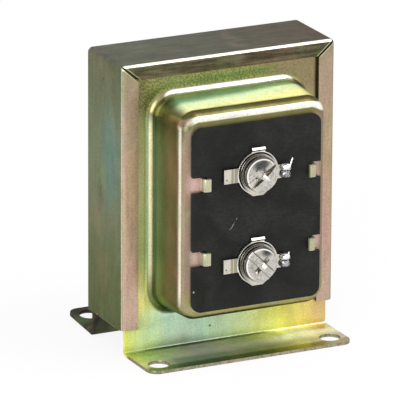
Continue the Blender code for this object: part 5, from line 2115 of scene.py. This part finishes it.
@dataclass
class Terminal:
    """A stamped terminal with its screw and its solder joint."""

    end: str
    slot_turn: float
    ear: float = 0.0036
    disc: float = 0.00545
    left_reach: float = 0.0092
    top_reach: float = 0.0058
    turned_edge: float = 0.0007
    stub_reach: float = 0.00575
    stub: float = 0.0014
    stub_slope: float = radians(20.0)
    lug: float = 0.0034
    lug_reach: float = 0.0086
    lug_drop: float = 0.0004
    sheet: float = 0.0007
    collar: float = 0.0030
    bore: float = 0.0022
    shank: float = 0.0019
    head: float = 0.0045
    dome: float = 0.0009
    slot_width: float = 0.0019
    slot_depth: float = 0.0011
    cross_width: float = 0.0013
    cross_length: float = 0.0054
    cross_floor: float = 0.0022
    cross_depth: float = 0.0019
    edge: float = 0.00012
    steps: int = 48
    dome_steps: int = 10

    def __post_init__(self) -> None:
        """Work out the places from the frame."""
        self.screw = Box.of(self.end + "_terminal_screw")
        self.board = Box.of("terminal_board")
        self.axis = self.screw.middle
        self.back = self.board.low.y - FIT
        self.face = self.back - self.sheet
        self.seat = self.face - FIT

    def build_plate(self) -> Workpiece:
        """Stamp the plate, turn up its top edge and stake its collar.

        Returns:
            The plate.
        """
        x, z = self.axis.x, self.axis.z
        plate = extruded(self.end + "_plate", [(x + px, z + pz) for px, pz in self._outline()],
                         self.face, self.back)
        half = self.ear / 2
        fold = z + self.top_reach - self.sheet / 2
        shape = bmesh.new()
        lean = self.turned_edge * cos(pi / 4)
        rows = [[shape.verts.new((x + px, y, height)) for px in (-half, half)]
                for height, y in ((fold - self.sheet / 2, self.face), (fold, self.face),
                                  (fold + lean, self.face - lean))]
        lay_rows(shape, rows)
        plate.combine("UNION", Workpiece("turned_edge", shape).thicken(self.sheet))
        rear = Box.of(self.end + "_terminal_plate").high.y
        rim = self.collar + FIT + self.sheet
        flare = rear - self.sheet
        inside = self.face + self.sheet / 2
        collar = turned("collar", [(0, inside), (self.collar, inside), (self.collar, flare),
                                   (rim, flare), (rim, flare + self.sheet / 2),
                                   (rim - self.sheet / 2, rear), (0, rear)], self.axis)
        plate.combine("UNION", collar)
        plate.combine("DIFFERENCE", rod("bore", self.bore, Vector((x, self.face - OVERRUN, z)),
                                        Vector((x, rear + OVERRUN, z))))
        return plate.ease(self.edge)

    def _outline(self) -> list[Point]:
        """Disc with its ears, stub and lug, about the screw axis.

        Returns:
            The outline.
        """
        half, lug = self.ear / 2, self.lug / 2
        ear_turn = asin(half / self.disc)
        quarter = self.steps // 4
        lug_top, lug_bottom = lug - self.lug_drop, -lug - self.lug_drop
        points = arc((0, 0), self.disc, asin(lug_top / self.disc), pi / 2 - ear_turn, quarter)
        points += [(half, self.top_reach), (-half, self.top_reach)]
        points += arc((0, 0), self.disc, pi / 2 + ear_turn, pi - ear_turn, quarter)
        points += [(-self.left_reach, half), (-self.left_reach, -half)]
        spread = atan2(self.stub, self.stub_reach) + self.stub_slope
        points += arc((0, 0), self.disc, pi + ear_turn, pi * 3 / 2 - spread, quarter)
        points += [(-self.stub, -self.stub_reach), (self.stub, -self.stub_reach)]
        points += arc((0, 0), self.disc, spread - pi / 2, asin(lug_bottom / self.disc), quarter)
        return points + arc((self.lug_reach - lug, -self.lug_drop), lug, -pi / 2, pi / 2, quarter)

    def build_screw(self) -> Workpiece:
        """Head the screw and press its slot and cross.

        Returns:
            The screw.
        """
        crown = self.screw.low.y
        sphere = (self.head ** 2 + self.dome ** 2) / (2 * self.dome)
        spread = acos((sphere - self.dome) / sphere)
        turns = [spread * step / self.dome_steps for step in range(self.dome_steps + 1)]
        profile = [(sphere * sin(turn), crown + sphere * (1 - cos(turn))) for turn in turns]
        tip = self.screw.high.y
        lead_in = self.shank / 3
        profile += [(self.head, self.seat), (self.shank, self.seat), (self.shank, tip - lead_in),
                    (self.shank - lead_in, tip), (0, tip)]
        screw = turned(self.end + "_screw", profile, self.axis)
        across = self.head * 2 + OVERRUN
        screw.combine("DIFFERENCE", self._recess(crown, self.slot_turn, across, across,
                                                 self.slot_width, self.slot_depth))
        for turn in (self.slot_turn, self.slot_turn + pi / 2):
            screw.combine("DIFFERENCE", self._recess(crown, turn, self.cross_length, self.cross_floor,
                                                     self.cross_width, self.cross_depth))
        return screw.ease(self.edge / 2, flat=False)

    def _recess(self, crown: float, turn: float, length: float, floor: float, width: float,
                depth: float) -> Workpiece:
        """A bar that sinks one arm of the recess.

        Args:
            crown: Y of the head's highest point.
            turn: Its direction about the axis.
            length: Its length at the crown.
            floor: Its length at the bottom.
            width: Its width.
            depth: Its depth.

        Returns:
            The cutter.
        """
        place = Matrix.Translation((self.axis.x, 0, self.axis.z)) @ Matrix.Rotation(-turn, 4, "Y")
        over = length + (length - floor) * OVERRUN / depth
        half = width / 2
        shape = bmesh.new()
        rings = []
        for reach, y in ((floor / 2, crown + depth), (over / 2, crown - OVERRUN)):
            corners = ((-reach, -half), (reach, -half), (reach, half), (-reach, half))
            rings.append([shape.verts.new(place @ Vector((x, y, z))) for x, z in corners])
        for ring in rings:
            shape.faces.new(ring)
        lay_rows(shape, rings, closed=True)
        bmesh.ops.recalc_face_normals(shape, faces=shape.faces)
        return Workpiece("recess", shape)


@dataclass
class SolderJoint:
    """A lump of solder on a lug, with the tinned wire end standing out of it."""

    end: str
    tail: float
    lean: float
    length: float = 0.0027
    lower: Point = (0.0011, 0.0011)
    upper: Point = (0.0009, 0.0014)
    crease: float = 0.0001
    wire: float = 0.00022
    wire_steps: int = 20
    sag: float = 0.08
    edge: float = 0.00005
    steps: int = 32

    def build(self) -> Workpiece:
        """Model the two lobes of the lump and the wire.

        Returns:
            The solder joint.
        """
        box = Box.of(self.end + "_solder_joint")
        axis = Box.of(self.end + "_terminal_screw").middle
        x = box.high.x - self.length / 2
        seam = axis.z + self.crease
        low = Vector((x, box.high.y, seam - self.lower[0]))
        high = Vector((x, box.high.y, seam + self.upper[0] - FIT))
        lump = self._lobe(low, *self.lower).combine("UNION", self._lobe(high, *self.upper))
        foot = high + Vector((self.length / 4, -self.upper[1] / 2, 0))
        tip = foot + Vector((sin(self.lean), 0, cos(self.lean))) * self.tail
        wire = rod("tail", self.wire, foot, tip, self.wire_steps)
        return lump.combine("UNION", wire).ease(self.edge, flat=False)

    def _lobe(self, middle: Vector, half_height: float, rise: float) -> Workpiece:
        """One lobe of solder, squarish where it wets the lug.

        Args:
            middle: Centre of its foot.
            half_height: Half its size along Z.
            rise: How far it stands off the lug.

        Returns:
            The workpiece.
        """
        shape = bmesh.new()
        rings = []
        levels = self.steps // 3
        for level in range(levels):
            swell = pi / 2 * level / levels
            ring = []
            for step in range(self.steps):
                turn = 2 * pi * step / self.steps
                square = 1 / (abs(cos(turn)) ** 3 + abs(sin(turn)) ** 3) ** (1 / 3)
                uneven = 1 - self.sag * sin(3 * turn + 2 * swell) * sin(2 * swell)
                reach = square * cos(swell) * uneven
                place = Vector((reach * cos(turn) * self.length / 2, -sin(swell) * rise,
                                reach * sin(turn) * half_height))
                ring.append(shape.verts.new(middle + place))
            rings.append(ring)
        lay_rows(shape, rings, closed=True)
        shape.faces.new(rings[0])
        close_tip(shape, rings[-1], middle + Vector((0, -rise, 0)))
        bmesh.ops.recalc_face_normals(shape, faces=shape.faces)
        return Workpiece(self.end + "_solder", shape)


@dataclass
class Fitting:
    """A whole terminal: plate, screw and solder joint, each in its finish."""

    end: str
    slot_turn: float
    tail: float
    tail_lean: float
    # where the painted dark reflection sits on the screw's dome, and how far it reaches
    dark_reflection: Point
    dark_reflection_reach: Point

    def place(self) -> None:
        """Build the three pieces and put them in place."""
        terminal = Terminal(self.end, self.slot_turn)
        axis = terminal.axis
        stamped = StampedNickel(self.end + "_plate_nickel", axis)
        head = HeadNickel(self.end + "_screw_nickel", axis, paint(210, 206, 197), paint(116, 115, 112),
                          rough=Level(0.13, 0.14), turn=self.slot_turn, dark_reflection=self.dark_reflection,
                          reach=self.dark_reflection_reach, crown=terminal.screw.low.y)
        tin = Solder(self.end + "_solder_finish", axis.z)
        joint = SolderJoint(self.end, self.tail, self.tail_lean)
        terminal.build_plate().fit(self.end + "_terminal_plate", "nickel_plate", stamped.make())
        terminal.build_screw().fit(self.end + "_terminal_screw", "nickel_screw", head.make())
        joint.build().fit(self.end + "_solder_joint", "solder", tin.make())


FITTINGS = (
    Fitting("lower", slot_turn=radians(-45.0), tail=0.0013, tail_lean=radians(2.0),
            dark_reflection=(0.0016, 0.0031), dark_reflection_reach=(0.0026, 0.0016)),
    Fitting("upper", slot_turn=radians(40.0), tail=0.0024, tail_lean=radians(20.0),
            dark_reflection=(-0.0004, 0.0027), dark_reflection_reach=(0.0036, 0.0024)))


# Inside

def dress_inside() -> None:
    """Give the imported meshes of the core, coil and leads their finishes."""
    copper = paint(186, 92, 48)
    amber = paint(206, 128, 58)
    finishes = {
        "core_e_stack": Lamination("e_laminations").make(),
        "core_i_stack": Lamination("i_laminations").make(),
        "bobbin": Plain("nylon", paint(226, 219, 200), paint(206, 198, 176), 0.0012).make(),
        "primary_winding": Wound("fine_enamel", copper, 0.0003).make(),
        "secondary_winding": Wound("heavy_enamel", amber, 0.0009).make(),
        "interwinding_tape": Plain("yellow_tape", paint(222, 190, 70), paint(196, 160, 48)).make(),
        "outer_wrap": Plain("white_tape", paint(236, 234, 226), paint(214, 210, 200)).make(),
        "lead": Plain("tinned_wire", paint(206, 206, 206), paint(160, 160, 160), 0.0004,
                      rough=Level(0.25, 0.1), metallic=1.0).make(),
        "sleeve": Plain("glass_sleeving", paint(230, 226, 212), paint(180, 174, 156), 0.0004,
                        (1, 1, 0.4)).make(),
        "liner": Plain("fish_paper", paint(112, 120, 128), paint(84, 90, 98), 0.0008,
                       (0.4, 1, 1)).make(),
    }
    for name, node in FRAME["nodes"].items():
        if node.hide_render:
            continue
        finish = finishes.get(name) or finishes[name.split("_")[-1]]
        node.data.materials.clear()
        node.data.materials.append(finish)
        LOG.info("%s: packed mesh in %s", name, finish.name)


# Studio

@dataclass
class Camera:
    """The camera at the photograph's place."""

    azimuth: float = radians(-26.26)
    elevation: float = radians(17.74)
    roll: float = radians(0.31)
    distance: float = 1.42915
    lens: float = 522.3
    aim: Place = (-0.00283, 0.0025, 0.03432)
    sensor: float = 36.0

    def build(self) -> None:
        """Set the camera up."""
        level = cos(self.elevation)
        back = Vector((sin(self.azimuth) * level, -cos(self.azimuth) * level, sin(self.elevation)))
        right = Vector((cos(self.azimuth), sin(self.azimuth), 0))
        up = back.cross(right)
        across = right * cos(self.roll) + up * sin(self.roll)
        upward = up * cos(self.roll) - right * sin(self.roll)
        data = bpy.data.cameras.new("camera")
        data.lens = self.lens
        data.sensor_width = self.sensor
        camera = bpy.data.objects.new("camera", data)
        turn = Matrix((across, upward, back)).transposed().to_4x4()
        camera.matrix_world = Matrix.Translation(Vector(self.aim) + back * self.distance) @ turn
        bpy.context.scene.collection.objects.link(camera)
        bpy.context.scene.camera = camera


@dataclass(frozen=True)
class SoftBox:
    """A square soft light that faces the object."""

    name: str
    direction: tuple[float, float, float]
    distance: float
    size: float
    power: float

    def build(self, target: Vector) -> None:
        """Hang the light.

        Args:
            target: What it points at.
        """
        data = bpy.data.lights.new(self.name, "AREA")
        data.shape = "SQUARE"
        data.size = self.size
        data.energy = self.power
        lamp = bpy.data.objects.new(self.name, data)
        toward = Vector(self.direction).normalized()
        lamp.matrix_world = (Matrix.Translation(target + toward * self.distance)
                             @ toward.to_track_quat("Z", "Y").to_matrix().to_4x4())
        bpy.context.scene.collection.objects.link(lamp)


@dataclass
class Studio:
    """Pale floor, white surround and soft lights."""

    lights: tuple[SoftBox, ...] = (
        SoftBox("overhead", (0.42, -0.30, 0.85), 0.9, 0.5, 3.0),
        SoftBox("left", (-0.70, -0.66, 0.30), 1.1, 0.6, 7.0),
        SoftBox("right", (0.90, -0.30, 0.50), 1.2, 0.6, 1.2))
    floor_size: float = 6.0
    floor_room: float = 0.00003
    floor_glow: float = 0.88
    ambient: float = 0.85

    def build(self) -> None:
        """Lay the floor and hang the lights."""
        for light in self.lights:
            light.build(Vector((0, 0, Box.of("case_band").middle.z)))
        self._floor()
        self._surround()
        bpy.context.scene.view_settings.view_transform = "Standard"

    def _floor(self) -> None:
        """Lay a pale floor that stays white for the camera and keeps a soft shadow."""
        half, low = self.floor_size / 2, -self.floor_room
        shape = bmesh.new()
        shape.faces.new([shape.verts.new((x, y, low))
                         for x, y in ((-half, -half), (half, -half), (half, half), (-half, half))])
        floor = Workpiece("floor", shape)
        tree = Tree.of_finish("pale_floor")
        matt = tree.node("BsdfDiffuse", {}, {"Color": paint(236, 236, 236)})
        glow = tree.node("Emission", {}, {"Color": paint(255, 255, 255), "Strength": 1.0})
        lit = tree.node("MixShader", {}, {0: tree.seen() * self.floor_glow, 1: matt, 2: glow})
        floor.item.data.materials.append(tree.close(lit))

    def _surround(self) -> None:
        """Surround the scene with an even light that is white where it is seen."""
        tree = Tree(bpy.data.worlds.new("surround"))
        level = self.ambient + tree.seen() * (1 - self.ambient)
        back = tree.node("Background", {}, {"Color": paint(255, 255, 255), "Strength": level})
        bpy.context.scene.world = tree.close(back)


def main() -> None:
    """Build the pieces in order, dress them and set up the studio."""
    logging.basicConfig(level=logging.INFO, format="%(message)s")
    Camera().build()
    Band().build().fit("case_band", "yellow_zinc_band", BandZinc().make())
    Cover().build().fit("front_cover", "yellow_zinc_front", CoverZinc().make())
    Cover("rear_cover", 1, 0.0012).build().fit("rear_cover", "yellow_zinc_rear", ShadedZinc().make())
    Board().build().fit("terminal_board", "black_fibre", Fibre().make())
    for fitting in FITTINGS:
        fitting.place()
    dress_inside()
    Studio().build()


if __name__ == "__main__":
    main()
